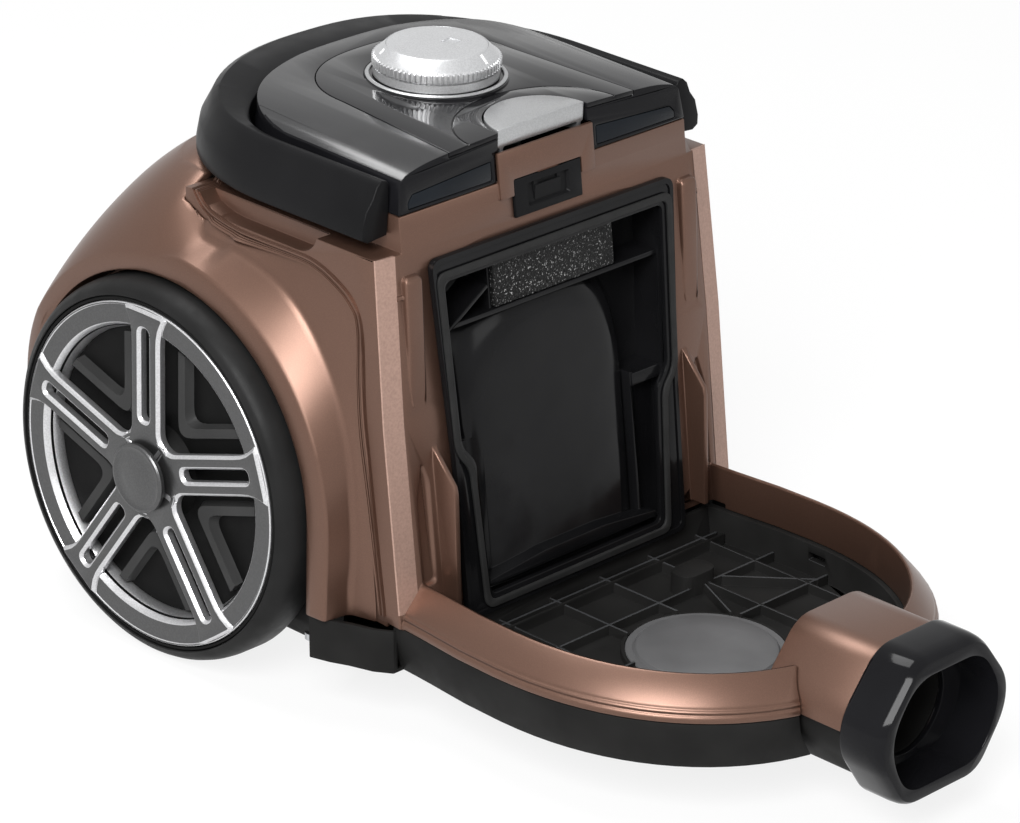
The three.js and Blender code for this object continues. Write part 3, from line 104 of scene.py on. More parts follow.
# Half widths end in _W, radii in _R, heights in _Z; fronts and backs in _Y.
BODY_W = 110
PILLAR_W = 113
BODY_BACK_Y = 8
FACE_Z, FACE_Y, FACE_LEAN = 222, -119.6, 0.1358
SHOULDER_Z = 228
ROOF_Z, ROOF_W = 244.8, 94.7
DOME_CORNER_X = 55
DOME_POWER, DOME_TAPER, DOME_BEND = 1.8, 0.045, 1.03
CREST_X = 115
WALL = 2.5
ARCH_GAP = 2
RIM_Z, RIM_W, RIM_MID_Y, RIM_LONG, RIM_POWER = 72.8, 102, -202.4, 112.4, 2.2
WINDOW = [
    (-72.5, 209.5), (-69.5, 131), (-61.5, 122), (-58, 56), (58, 56), (61.5, 122), (69.5, 131), (72.5, 209.5),
]
FRAME = [(-80.4, 221.5), (-75, 124), (-74, 48), (74, 48), (75, 124), (80.4, 221.5)]
BAY_DEPTH, LINER_WALL, MOUTH_INSET = 20, 2, 3.8
SHELF_Z, SHELF_NEAR = 186, 2.7
ARCH_X, ARCH_Z, ARCH_W, CREST = -4, 128, 56, 5
STEP_X, STEP_Z, STEP_DEPTH = 54, 127, 8
LEAF_X, LEAF_Z, LEAF_OUT = 84.4, 136, 12.7
TUB_RISE = 2.4
CROWN_Z, CROWN_RISE = 268.4, 0.03
COVER_W, COVER_FRONT_Y, COVER_SQUARE_Y, COVER_BACK_Y = 92, -115, -48, 17
PANEL_W, PANEL_BACK_Y = 61, 4
BUTTON_W, BUTTON_L = 28.5, 27
STRIP_IN, STRIP_OUT = 35, 88
HANDLE_FRONT_Y, HANDLE_TOP_Z, HANDLE_LOW_Z = -110.5, 262, 234
CORNER_LOW_Z, CORNER_MID_Z, CORNER_HIGH_Z = 61, 150, 190
COVER_EDGE_Z = 262
DOME_TOP_Z = HANDLE_LOW_Z - 2.5
NOSE_LOW_Z = DECK_Z - 5
PEDAL_TRAVEL = 4
RING_R = TRIM_R - 13.7
SPOKES, SPOKE_HALF = 5, 9.7
SPOKE_TURN = (2 * math.pi / SPOKES, 0, 0)
DIAL_TURN, MARK_TURN = math.radians(11), math.radians(132)
# The room between neighbours, and a reach past the whole body for what cuts it.
GAP = 0.3
FAR = 200
# How finely the curves are drawn.
NOSE_STEPS, BUTTON_STEPS, HANDLE_STEPS = 22, 40, 26
DOME_FROM, DOME_TO, DOME_STEP, DOME_STEPS = -32.0, 212, 2.0, 24
# Edges sharper than this stay sharp; normals and areas pick the faces with a second finish. On the wheel
# trims that second finish is a pale painted highlight on the bevels and walls; on the deck it is a lighter
# painted highlight on the small tops of the ribs.
SHARP_FROM = math.radians(32)
STEEP, BEVEL_HIGHLIGHT_TILT, SMALL_FACE = 0.75, 0.97, 3e-5

PLACE = Matrix.Translation((0, AXLE_Y / 1000, 0)) @ Matrix.Scale(0.001, 4)


# ---- Solids ----


def solid(name, verts, faces):
    """A closed mesh object, its faces turned outwards."""
    mesh = bpy.data.meshes.new(name)
    mesh.from_pydata([tuple(v) for v in verts], [], faces)
    work = bmesh.new()
    work.from_mesh(mesh)
    bmesh.ops.remove_doubles(work, verts=work.verts, dist=1e-4)
    bmesh.ops.recalc_face_normals(work, faces=work.faces)
    work.to_mesh(mesh)
    work.free()
    piece = bpy.data.objects.new(name, mesh)
    bpy.context.collection.objects.link(piece)
    return piece


def loft(rings, name="loft"):
    """A skin over rings with equal numbers of points."""
    n = len(rings[0])
    verts = [p for ring in rings for p in ring]
    faces = []
    for r in range(len(rings) - 1):
        for i in range(n):
            j = (i + 1) % n
            faces.append((r * n + i, r * n + j, (r + 1) * n + j, (r + 1) * n + i))
    faces.append(tuple(range(n))[::-1])
    faces.append(tuple(range(len(verts) - n, len(verts))))
    return solid(name, verts, faces)


def along(axis, u, v, w):
    """A point drawn as (u, v) at w along an axis."""
    return {"x": (w, u, v), "y": (u, w, v), "z": (u, v, w)}[axis]


def slab(outline, axis, start, end):
    """An outline drawn across an axis, carried along it."""
    return loft([[along(axis, u, v, w) for u, v in outline] for w in (start, end)], "slab")


def circle(radius, sides, u, v):
    """The points of a regular outline round (u, v)."""
    turns = [2 * math.pi * i / sides for i in range(sides)]
    return [(u + radius * math.cos(t), v + radius * math.sin(t)) for t in turns]


def disc(radius, axis, start, end, u=0.0, v=0.0, sides=64):
    """A cylinder along an axis."""
    return slab(circle(radius, sides, u, v), axis, start, end)


def box(x0, x1, y0, y1, z0, z1):
    """A block by its sides."""
    return slab([(x0, y0), (x1, y0), (x1, y1), (x0, y1)], "z", z0, z1)


def turned(profile, axis="z", sides=96, u=0.0, v=0.0):
    """A closed (radius, along) profile turned about an axis."""
    rings = []
    for t in (2 * math.pi * i / sides for i in range(sides)):
        c, s = math.cos(t), math.sin(t)
        rings.append([along(axis, u + r * c, v + r * s, h) for r, h in profile])
    n = len(profile)
    verts = [p for ring in rings for p in ring]
    faces = []
    for k in range(sides):
        m = (k + 1) % sides
        for i in range(n):
            j = (i + 1) % n
            faces.append((k * n + i, k * n + j, m * n + j, m * n + i))
    return solid("turned", verts, faces)


def combine(operation, first, others):
    """Boolean of a solid with others, which are used up."""
    for other in others:
        step = first.modifiers.new(operation, "BOOLEAN")
        step.operation = operation
        step.solver = "MANIFOLD"
        step.object = other
    settle(first)
    for other in others:
        bpy.data.objects.remove(other)
    return first


def cut(first, *others):
    """The first solid without the others."""
    return combine("DIFFERENCE", first, others)


def join(first, *others):
    """All of the solids in one."""
    return combine("UNION", first, others)


def meet(first, *others):
    """What all of the solids share."""
    return combine("INTERSECT", first, others)


def settle(piece):
    """Turns the evaluated piece into its plain mesh."""
    bpy.context.view_layer.update()
    graph = bpy.context.evaluated_depsgraph_get()
    mesh = bpy.data.meshes.new_from_object(piece.evaluated_get(graph))
    piece.modifiers.clear()
    piece.data = mesh
    return piece


def rounded(piece, width, angle=38, steps=2):
    """Rounds every edge that is sharper than the angle."""
    work = bmesh.new()
    work.from_mesh(piece.data)
    bmesh.ops.remove_doubles(work, verts=work.verts, dist=0.02)
    work.to_mesh(piece.data)
    work.free()
    bevel = piece.modifiers.new("Rounded", "BEVEL")
    bevel.width = width
    bevel.segments = steps
    bevel.limit_method = "ANGLE"
    bevel.angle_limit = math.radians(angle)
    bevel.use_clamp_overlap = False
    bevel.miter_outer = "MITER_ARC"
    return settle(piece)


def gather(name, *pieces):
    """Puts finished meshes that don't cut each other into one piece."""
    verts, faces = [], []
    for piece in pieces:
        start = len(verts)
        verts += [tuple(v.co) for v in piece.data.vertices]
        faces += [tuple(start + i for i in p.vertices) for p in piece.data.polygons]
        bpy.data.objects.remove(piece)
    mesh = bpy.data.meshes.new(name)
    mesh.from_pydata(verts, [], faces)
    whole = bpy.data.objects.new(name, mesh)
    bpy.context.collection.objects.link(whole)
    return whole


def copies_tree():
    """Geometry nodes that set out copies of a unit, each moved and turned on from the one before."""
    tree = bpy.data.node_groups.new("Copies", "GeometryNodeTree")
    for name, kind in (
        ("Geometry", "Geometry"), ("Unit", "Object"), ("Count", "Int"), ("Step", "Vector"),
        ("Turn", "Vector"), ("Finish", "Material"),
    ):
        tree.interface.new_socket(name, in_out="INPUT", socket_type="NodeSocket" + kind)
    tree.interface.new_socket("Geometry", in_out="OUTPUT", socket_type="NodeSocketGeometry")
    start, end, points, index, shift, spin, unit, spread, real, paint = (
        tree.nodes.new(kind) for kind in (
            "NodeGroupInput", "NodeGroupOutput", "GeometryNodePoints", "GeometryNodeInputIndex",
            "ShaderNodeVectorMath", "ShaderNodeVectorMath", "GeometryNodeObjectInfo",
            "GeometryNodeInstanceOnPoints", "GeometryNodeRealizeInstances", "GeometryNodeSetMaterial",
        )
    )
    shift.operation = "SCALE"
    spin.operation = "SCALE"
    unit.inputs["As Instance"].default_value = True
    for source, out, target, into in (
        (start, "Count", points, "Count"), (index, "Index", shift, "Scale"),
        (start, "Step", shift, "Vector"), (index, "Index", spin, "Scale"),
        (start, "Turn", spin, "Vector"), (shift, "Vector", points, "Position"),
        (points, "Geometry", spread, "Points"), (start, "Unit", unit, "Object"),
        (unit, "Geometry", spread, "Instance"), (spin, "Vector", spread, "Rotation"),
        (spread, "Instances", real, "Geometry"), (real, "Geometry", paint, "Geometry"),
        (start, "Finish", paint, "Material"), (paint, "Geometry", end, "Geometry"),
    ):
        tree.links.new(source.outputs[out], target.inputs[into])
    return tree


def copies(unit, count, step=(0, 0, 0), turn=(0, 0, 0), finish_name="satin"):
    """A plain mesh of copies of a unit, which is used up."""
    tree = bpy.data.node_groups.get("Copies") or copies_tree()
    row = bpy.data.objects.new("copies", bpy.data.meshes.new("copies"))
    bpy.context.collection.objects.link(row)
    values = {"Unit": unit, "Count": count, "Step": step, "Turn": turn, "Finish": look(finish_name)}
    nodes = row.modifiers.new("Copies", "NODES")
    nodes.node_group = tree
    for socket in tree.interface.items_tree:
        if socket.in_out == "INPUT" and socket.name in values:
            nodes[socket.identifier] = values[socket.name]
    settle(row)
    bpy.data.objects.remove(unit)
    return row


def two_tone(piece, second, chosen):
    """Gives a second finish to the faces a rule picks."""
    piece.data.materials.append(look(second))
    for face in piece.data.polygons:
        face.material_index = int(chosen(face))


def fit(piece, name, body, finish_name, nodes=()):
    """Names a finished piece, puts it in its place and on its body, and hides what it stands for."""
    piece.name = name
    piece.data.name = name
    piece.data.transform(PLACE)
    piece.data.polygons.foreach_set("use_smooth", [True] * len(piece.data.polygons))
    piece.data.set_sharp_from_angle(angle=SHARP_FROM)
    piece.data.materials.clear()
    piece.data.materials.append(look(finish_name))
    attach(piece, body)
    if nodes:
        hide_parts(*nodes)
    return piece


def stand_in(piece, node, finish_name, body="body", name=None):
    """Fits a piece in the place of one node, under the node's name unless told otherwise."""
    return fit(piece, name or node.capitalize(), body, finish_name, [node])


# ---- Outlines ----


def smooth_curve(points, steps):
    """A Catmull-Rom curve through points of any size."""
    ends = [points[0]] + list(points) + [points[-1]]
    out = []
    for i in range(1, len(ends) - 2):
        p, q, r, s = ends[i - 1], ends[i], ends[i + 1], ends[i + 2]
        for k in range(steps):
            t = k / steps
            out.append(
                tuple(
                    0.5 * (2 * b + (c - a) * t + (2 * a - 5 * b + 4 * c - d) * t * t
                           + (3 * b - a - 3 * c + d) * t ** 3)
                    for a, b, c, d in zip(p, q, r, s)
                )
            )
    return out + [tuple(points[-1])]


def softened(corners, radius, steps=6):
    """An outline with rounded corners."""
    out = []
    n = len(corners)
    for i, corner in enumerate(corners):
        here = Vector(corner)
        back, ahead = Vector(corners[i - 1]) - here, Vector(corners[(i + 1) % n]) - here
        a = here + back.normalized() * min(radius, back.length / 2.1)
        b = here + ahead.normalized() * min(radius, ahead.length / 2.1)
        for k in range(steps + 1):
            t = k / steps
            out.append(tuple(a * (1 - t) ** 2 + here * 2 * t * (1 - t) + b * t * t))
    return out


def area(outline):
    """The area inside an outline, negative where it runs clockwise."""
    ring = zip(outline, outline[1:] + outline[:1])
    return sum(x * v - u * y for (x, y), (u, v) in ring) / 2


def grown(outline, by):
    """Moves an outline outwards by the same amount all along."""
    side = math.copysign(1, area(outline))
    out = []
    n = len(outline)
    for i, (x, y) in enumerate(outline):
        (px, py), (qx, qy) = outline[i - 1], outline[(i + 1) % n]
        a = Vector((y - py, px - x)).normalized()
        b = Vector((qy - y, x - qx)).normalized()
        miter = a + b
        miter *= 2 * by * side / miter.length_squared
        out.append((x + miter.x, y + miter.y))
    return out


def both_sides(points):
    """A left half with its mirror image, as one outline."""
    return list(points) + [(-u, v) for u, v in reversed(points)]


def at_height(outline, z):
    """An (x, y) outline laid flat at a height."""
    return [(x, y, z) for x, y in outline]


def face_y(z):
    """Where the leaning face stands at a height."""
    return FACE_Y - (FACE_Z - z) * FACE_LEAN


def leaned(outline, start, end):
    """An (x, z) outline with depths measured back from the leaning face."""
    return loft([[(x, face_y(z) + d, z) for x, z in outline] for d in (start, end)], "leaned")


def leaned_box(x0, x1, z0, z1, start, end):
    """A block by its sides, its foot and top, and its depths behind the leaning face."""
    return leaned([(x0, z0), (x0, z1), (x1, z1), (x1, z0)], start, end)


def beside(side, near, far):
    """From near to far on one side of the body, in rising X."""
    return sorted((side * near, side * far))


def bow(width, front_y, square_y, back_y, power, steps=24):
    """Half of a U seen from above: a straight side that runs into a superellipse."""
    points = [(-width, front_y)]
    for i in range(steps):
        a = math.pi / 2 * i / (steps - 1)
        points.append(
            (-width * max(math.cos(a), 0) ** (2 / power),
             square_y + (back_y - square_y) * math.sin(a) ** (2 / power))
        )
    return points


def whole_bow(*sizes):
    """Both halves of a bow, as one outline."""
    left = bow(*sizes)
    return left[:-1] + [(0, left[-1][1])] + [(-x, y) for x, y in reversed(left[:-1])]


def nose_curve(out):
    """The rounded nose of the deck, from pillar to pillar, moved out."""
    points = [(-RIM_W + 4.6, -134), (-RIM_W + 4.4, -139), (-RIM_W + 4.0, -145)]
    points += [(-RIM_W + 3.2, -155), (-RIM_W + 2, -167), (-RIM_W + 0.7, -180)]
    for i in range(NOSE_STEPS):
        a = math.pi / 2 * i / (NOSE_STEPS - 0.5)
        points.append(
            (-RIM_W * math.cos(a) ** (2 / RIM_POWER),
             RIM_MID_Y - RIM_LONG * math.sin(a) ** (2 / RIM_POWER))
        )
    curve = both_sides(points)
    moved = []
    for i, (x, y) in enumerate(curve):
        (px, py), (qx, qy) = curve[max(i - 1, 0)], curve[min(i + 1, len(curve) - 1)]
        side = Vector((qy - py, px - qx)).normalized() * out
        moved.append((x + side.x, y + side.y))
    return moved


def round_nose(section):
    """A section of (out, z) points carried round the nose."""
    sides = [at_height(nose_curve(t), z) for t, z in section]
    return loft([list(ring) for ring in zip(*sides)], "nose")


# ---- Body blocks ----


def front_block(inset, low=SHELL_Z):
    """The block between the wheels: face, corner strips, pillars and shoulders."""
    bend_y = -WHEEL_R + 0.39 * (FACE_Y + WHEEL_R)

    def level(z, width):
        front = face_y(z) + inset
        side = BODY_W - inset
        pillar = width - inset
        left = [
            (-side, BODY_BACK_Y), (-side, bend_y), (-pillar, front + 2.4), (-pillar + 0.4, front + 1.9),
            (-pillar + 11, front),
        ]
        return at_height(both_sides(left), z)

    top = SHOULDER_Z - inset
    levels = [(low, PILLAR_W), (CORNER_MID_Z, PILLAR_W), (CORNER_HIGH_Z, PILLAR_W - 1.5), (top, BODY_W)]
    return loft([level(z, width) for z, width in levels], "front block")


def cover_plan(inset, z):
    """The outline of the cover at a height: it narrows up to its edge."""
    drop = COVER_EDGE_Z - min(max(z, ROOF_Z), COVER_EDGE_Z)
    slope = drop * (ROOF_W - COVER_W) / (COVER_EDGE_Z - ROOF_Z)
    width = COVER_W + slope - inset
    front = face_y(min(z, COVER_EDGE_Z)) + inset
    return whole_bow(width, front, COVER_SQUARE_Y, COVER_BACK_Y + slope - inset, 2.5)


def roof_step(inset, low):
    """The narrower step under the cover."""
    return loft([at_height(cover_plan(inset, z), z) for z in (low, SHOULDER_Z, 237, ROOF_Z)], "roof")


def skin(points):
    """Distance from the dome's middle, by angle up from the rear."""
    curve = smooth_curve(points, 10)

    def at(angle):
        for (a, r), (b, q) in zip(curve, curve[1:]):
            if angle <= b:
                return r + (q - r) * (angle - a) / (b - a)
        return curve[-1][1]

    return at


dome_skin = skin([
    (-40, 145), (-23, 123), (-11, 118.5), (0, 117.5), (20, 116.5), (34, 118.5), (46, 126.5), (58, 136),
    (67, 143.5), (76, 149), (84, 149.2), (90, 149), (110, 150), (230, 150),
])
fender_skin = skin([
    (-40, 150), (80, 146), (88, 138), (94, 126), (102, 124.5), (110, 129.4), (117, 136.7), (122.5, 144),
    (128, 148.5), (133, 150), (138, 147.2), (144, 140), (151, 131), (168, 123.5), (185, 127), (200, 141),
    (230, 160),
])
crest_skin = skin([
    (-40, 118), (90, 117), (100, 119), (112, 122), (125, 124.5), (141, 121), (155, 117), (172, 113),
    (187, 114), (200, 116), (230, 125),
])


def dome_section(angle, edge):
    """Rear section as (x, radius) points, from the arch's edge to the corner: a lip and a full curve."""
    lip = 6
    rise = dome_skin(angle) - edge - lip
    deep = FENDER_X - DOME_CORNER_X

    def height(share):
        return (1 - (share / DOME_BEND) ** DOME_POWER) ** (1 / DOME_POWER)

    points = [(FENDER_X, edge), (FENDER_X - 0.5, edge + lip - 1), (FENDER_X - 1, edge + lip)]
    last = height(1)
    for i in range(1, DOME_STEPS + 1):
        share = math.cos(math.pi / 2 * i / DOME_STEPS)
        high = (height(share) - last) / (1 - last)
        points.append((DOME_CORNER_X + (deep - 1) * share, edge + lip + rise * high))
    return points


def fender_section(angle, edge):
    """Front section: a lip, a slope up to the crest and a steep face behind it."""
    lip = 9
    crest = max(crest_skin(angle), edge + lip + 4)
    top = max(fender_skin(angle), crest + 1.5)
    points = [(FENDER_X, edge), (FENDER_X - 0.5, edge + lip - 1), (FENDER_X - 1.3, edge + lip + 0.4)]
    foot, low = points[-1], (CREST_X + 2.2, crest - 1.6)
    middle, high = (CREST_X + 0.4, crest - 0.2), (CREST_X, crest + 1.6)
    slope, turn = DOME_STEPS // 2, DOME_STEPS // 4
    for i in range(1, slope + 1):
        points.append(tuple(a + (b - a) * (i / slope) for a, b in zip(foot, low)))
    for i in range(1, turn + 1):
        t = i / turn
        points.append(tuple(
            a * (1 - t) ** 2 + m * 2 * t * (1 - t) + b * t * t for a, m, b in zip(low, middle, high)
        ))
    for i in range(1, turn + 1):
        share = i / turn
        points.append((CREST_X + (BODY_W - CREST_X) * share, crest + 1.6 + (top - crest - 1.6) * share))
    return points


def dome_block(inset):
    """The bronze skin that rounds off into the wheel arches, as a solid."""
    columns = []
    angle = DOME_FROM
    while angle <= DOME_TO:
        turn = math.radians(angle)
        reach = 1 if 0 < turn < math.pi else abs(math.cos(turn))
        edge = (WHEEL_R + ARCH_GAP + 3) / reach
        front = min(max((angle - 84) / 12, 0), 1)
        front = front * front * (3 - 2 * front)
        narrow = 1 - DOME_TAPER * min(max(1 - angle / 30, 0), 1)
        column = []
        for (x, r), (u, q) in zip(dome_section(angle, edge), fender_section(angle, edge)):
            across = (x + (u - x) * front) * narrow - inset
            radius = r + (q - r) * front - inset
            column.append((across, radius * math.cos(turn), WHEEL_R + radius * math.sin(turn)))
        columns.append(column)
        angle += DOME_STEP
    rings = list(zip(*columns))
    left = [[(-x, y, z) for x, y, z in ring] for ring in rings]
    return loft(left + [list(ring) for ring in reversed(rings)], "dome")


def wheel_wells(radius, start):
    """Room for a wheel on both sides."""
    rooms = []
    for side in (-1, 1):
        a, b = beside(side, start, FENDER_X + 20)
        rooms.append(disc(radius, "x", a, b, 0, WHEEL_R, 120))
        rooms.append(box(a, b, -radius, radius, -10, WHEEL_R))
    return rooms


def inlet_section(by, round_by=9, steps=6):
    """The flat hexagon of the hose inlet, moved out."""
    w, h = 42.5 + by, 34 + by
    corners = [(-w, -8), (-w, 8), (-22, h), (22, h), (w, 8), (w, -8), (25, -h), (-25, -h)]
    return [(x, INLET_Z + z) for x, z in softened(corners, round_by, steps)]


def crown_z(y):
    """How high the top of the cover stands."""
    return CROWN_Z + (y - COVER_FRONT_Y) * CROWN_RISE


def under_crown(depth):
    """Everything under the arched top of the cover, lowered by some depth."""
    drops = [(-4, -14.4), (-1, -10), (0, -8.2), (2.5, -6.4), (6, -5), (16, -3), (31, -1.8), (62, -0.5)]
    arch = smooth_curve([(x - COVER_W, z) for x, z in drops], 3)
    full = both_sides(arch) + [(COVER_W + 4, -60), (-COVER_W - 4, -60)]
    rings = []
    for y in (-130, 30):
        lift = crown_z(y) - depth
        rings.append([(x, y, z + lift) for x, z in full])
    return loft(rings, "crown")


def panel_plan(by):
    """The outline of the control panel, moved out."""
    plan = whole_bow(PANEL_W - 6 + by, COVER_FRONT_Y - 10, -40, PANEL_BACK_Y + by, 2.4)
    out = []
    for x, y in plan:
        widen = 1 + (-40 - y) * 6 / (75 * (PANEL_W - 6)) if y < -40 else 1
        out.append((x * widen, y))
    return out


def button_plan(by):
    """The D of the release key, moved out."""
    out = []
    for i in range(BUTTON_STEPS + 1):
        a = math.pi * i / BUTTON_STEPS
        out.append(
            (-(BUTTON_W + by) * math.cos(a), COVER_FRONT_Y + 1 + (BUTTON_L - 1 + by) * math.sin(a))
        )
    return out


# ---- Finishes ----


def finish(name, color, roughness, metallic=0.0, specular=0.5, coat=0.0, coat_roughness=0.1):
    """A bare finish: its tree's nodes, links and shader are detailed by what follows it."""
    made = bpy.data.materials.new(name)
    made.use_nodes = True
    shader = made.node_tree.nodes["Principled BSDF"]
    shader.inputs["Base Color"].default_value = (*color, 1)
    shader.inputs["Roughness"].default_value = roughness
    shader.inputs["Metallic"].default_value = metallic
    shader.inputs["Specular IOR Level"].default_value = specular
    shader.inputs["Coat Weight"].default_value = coat
    shader.inputs["Coat Roughness"].default_value = coat_roughness
    made.diffuse_color = (*color, 1)
    return made


def add_node(made, kind, **values):
    """A node with its sockets and settings by name."""
    node = made.node_tree.nodes.new(kind)
    for key, value in values.items():
        if key in node.inputs:
            node.inputs[key].default_value = value
        else:
            setattr(node, key, value)
    return node


def link(made, source, out, target, into):
    """Joins two sockets of a finish by name."""
    made.node_tree.links.new(source.outputs[out], target.inputs[into])


def speckle(made, size, kind="ShaderNodeTexNoise", stretch=(1, 1, 1), **values):
    """A pattern on Object coordinates whose grains are about so many metres wide."""
    place = add_node(made, "ShaderNodeTexCoord")
    mapping = add_node(made, "ShaderNodeMapping")
    mapping.inputs["Scale"].default_value = stretch
    pattern = add_node(made, kind, Scale=1 / size, **values)
    link(made, place, "Object", mapping, "Vector")
    link(made, mapping, "Vector", pattern, "Vector")
    return pattern


def grain(made, size, depth, detail=3.0, stretch=(1, 1, 1)):
    """Moulded grain: a fine bump, in metres."""
    shader = made.node_tree.nodes["Principled BSDF"]
    pattern = speckle(made, size, stretch=stretch, Detail=detail, Roughness=0.6)
    bump = add_node(made, "ShaderNodeBump", Strength=1.0, Distance=depth)
    link(made, pattern, "Fac", bump, "Height")
    before = shader.inputs["Normal"].links
    if before:
        made.node_tree.links.new(before[0].from_socket, bump.inputs["Normal"])
    link(made, bump, "Normal", shader, "Normal")


def vary_color(made, size, low, high, detail=2.0, kind="ShaderNodeTexNoise", out="Fac", edges=(0.3, 0.7)):
    """Colour that drifts between two shares of the finish's own."""
    shader = made.node_tree.nodes["Principled BSDF"]
    color = shader.inputs["Base Color"].default_value[:3]
    pattern = speckle(made, size, kind)
    if kind == "ShaderNodeTexNoise":
        pattern.inputs["Detail"].default_value = detail
    ramp = add_node(made, "ShaderNodeValToRGB")
    ramp.color_ramp.elements[0].position = edges[0]
    ramp.color_ramp.elements[1].position = edges[1]
    ramp.color_ramp.elements[0].color = (*[min(c * low, 1) for c in color], 1)
    ramp.color_ramp.elements[1].color = (*[min(c * high, 1) for c in color], 1)
    link(made, pattern, out, ramp, "Fac")
    link(made, ramp, "Color", shader, "Base Color")


def vary_roughness(made, size, low, high, stretch=(1, 1, 1)):
    """Handling and moulding marks: roughness between two values."""
    shader = made.node_tree.nodes["Principled BSDF"]
    pattern = speckle(made, size, stretch=stretch, Detail=4.0)
    spread = add_node(made, "ShaderNodeMapRange")
    spread.inputs["From Min"].default_value = 0.3
    spread.inputs["From Max"].default_value = 0.7
    spread.inputs["To Min"].default_value = low
    spread.inputs["To Max"].default_value = high
    link(made, pattern, "Fac", spread, "Value")
    link(made, spread, "Result", shader, "Roughness")


def recipe(title, roughness, drift, marks=None, lumps=None, **shader):
    """A maker of a finish: drift is for its colour, marks for its roughness, lumps for its grain."""

    def make(color):
        made = finish(title, color, roughness, **shader)
        vary_color(made, **drift)
        if marks:
            vary_roughness(made, **marks)
        if lumps:
            grain(made, **lumps)
        return made

    return make


def shares(size, low, high, **more):
    """A pattern of that size, in metres, between two shares or values."""
    return {"size": size, "low": low, "high": high, **more}


def bumps(size, depth, **more):
    """A grain of that size and depth, in metres."""
    return {"size": size, "depth": depth, **more}


FLAKES = {"kind": "ShaderNodeTexVoronoi", "out": "Distance"}
SATIN = recipe(
    "Satin black", 0.34, shares(0.05, 0.85, 1.2), shares(0.012, 0.33, 0.42),
    bumps(0.0005, 0.00001), specular=0.07,
)
GRAINED = recipe(
    "Grained black", 0.5, shares(0.03, 0.8, 1.25), shares(0.01, 0.46, 0.58),
    bumps(0.0009, 0.00004), specular=0.07,
)
GLOSS = recipe("Gloss black", 0.1, shares(0.04, 0.8, 1.2), shares(0.03, 0.06, 0.13), specular=0.12)
SILVER = recipe(
    "Silver paint", 0.34, shares(0.0008, 0.93, 1.06, **FLAKES), shares(0.015, 0.27, 0.34),
    bumps(0.0006, 0.000008), metallic=0.8,
)
WHEEL = recipe(
    "Wheel grey", 0.33, shares(0.0008, 0.92, 1.07, **FLAKES), shares(0.02, 0.3, 0.38), bumps(0.0006, 0.00001),
    metallic=0.9,
)
GREY = recipe(
    "Moulded grey", 0.45, shares(0.03, 0.88, 1.12), shares(0.01, 0.4, 0.52),
    bumps(0.0009, 0.00003), specular=0.25,
)
FINISHES = {
    "bronze": recipe(
        "Bronze paint", 0.36, shares(0.0005, 0.94, 1.06, **FLAKES), shares(0.03, 0.34, 0.38),
        bumps(0.0005, 0.000006), metallic=0.72, specular=0.3, coat=0.3, coat_roughness=0.34,
    ),
    "bronze_grained": recipe(
        "Bronze grained", 0.42, shares(0.0012, 0.88, 1.1), None,
        bumps(0.0014, 0.00009), metallic=0.5, specular=0.3,
    ),
    "satin": SATIN,
    "frame": SATIN,
    "grained": GRAINED,
    "pit": GRAINED,
    "cover": recipe(
        "Cover black", 0.2, shares(0.05, 0.85, 1.2), shares(0.02, 0.2, 0.26),
        bumps(0.0005, 0.000004), specular=0.7,
    ),
    "panel": recipe("Panel black", 0.07, shares(0.04, 0.85, 1.15), shares(0.03, 0.08, 0.13)),
    "gloss": GLOSS,
    "strip": GLOSS,
    "bay": recipe(
        "Moulded black", 0.12, shares(0.05, 0.8, 1.25), shares(0.02, 0.09, 0.2),
        bumps(0.03, 0.0006, detail=1.0),
        specular=0.16,
    ),
    "tyre": recipe(
        "Tyre black", 0.42, shares(0.02, 0.85, 1.2), shares(0.006, 0.4, 0.52),
        bumps(0.0008, 0.00002), specular=0.1,
    ),
    "silver": SILVER,
    "dial": SILVER,
    # The skirt copy of the silver is painted shade on the sides of the dial.
    "skirt": SILVER,
    "wheel": WHEEL,
    # The pale edge copy of the wheel grey is a painted highlight on the bevels and walls of the trims.
    "edge": WHEEL,
    "grey": GREY,
    "cap": GREY,
    "mark": recipe("Mark white", 0.5, shares(0.002, 0.94, 1.04)),
    "steel": recipe(
        "Bare steel", 0.3, shares(0.004, 0.85, 1.1), shares(0.004, 0.24, 0.42, stretch=(1, 6, 6)),
        bumps(0.0012, 0.00001, stretch=(1, 8, 8)), metallic=1.0,
    ),
    # The foam's colour is strewn with specks up to thirty times as bright: painted glints off its cells.
    "foam": recipe(
        "Foam", 0.4, shares(0.0009, 0.4, 30, detail=4.0, edges=(0.6, 0.68)), None,
        bumps(0.0016, 0.0012), specular=0.2,
    ),
    "rubber": recipe(
        "Rubber", 0.62, shares(0.012, 0.85, 1.2), shares(0.008, 0.55, 0.7),
        bumps(0.0007, 0.00002), specular=0.2,
    ),
    "board": recipe("Circuit board", 0.35, shares(0.003, 0.6, 1.3, **FLAKES), shares(0.002, 0.25, 0.45)),
    "paper": recipe(
        "Filter paper", 0.9, shares(0.002, 0.92, 1.04), None, bumps(0.0006, 0.00005), specular=0.2,
    ),
    "copper": recipe(
        "Copper winding", 0.35, shares(0.002, 0.75, 1.15), None, bumps(0.0006, 0.0001, stretch=(1, 0.2, 1)),
        metallic=0.9,
    ),
}
MADE = {}


def look(name):
    """The finish of that name, made once, in the colour of the panel."""
    if name not in MADE:
        MADE[name] = FINISHES[name](tuple(getattr(bpy.context.scene.cleaner_colors, name)))
    return MADE[name]


# ---- Shells ----


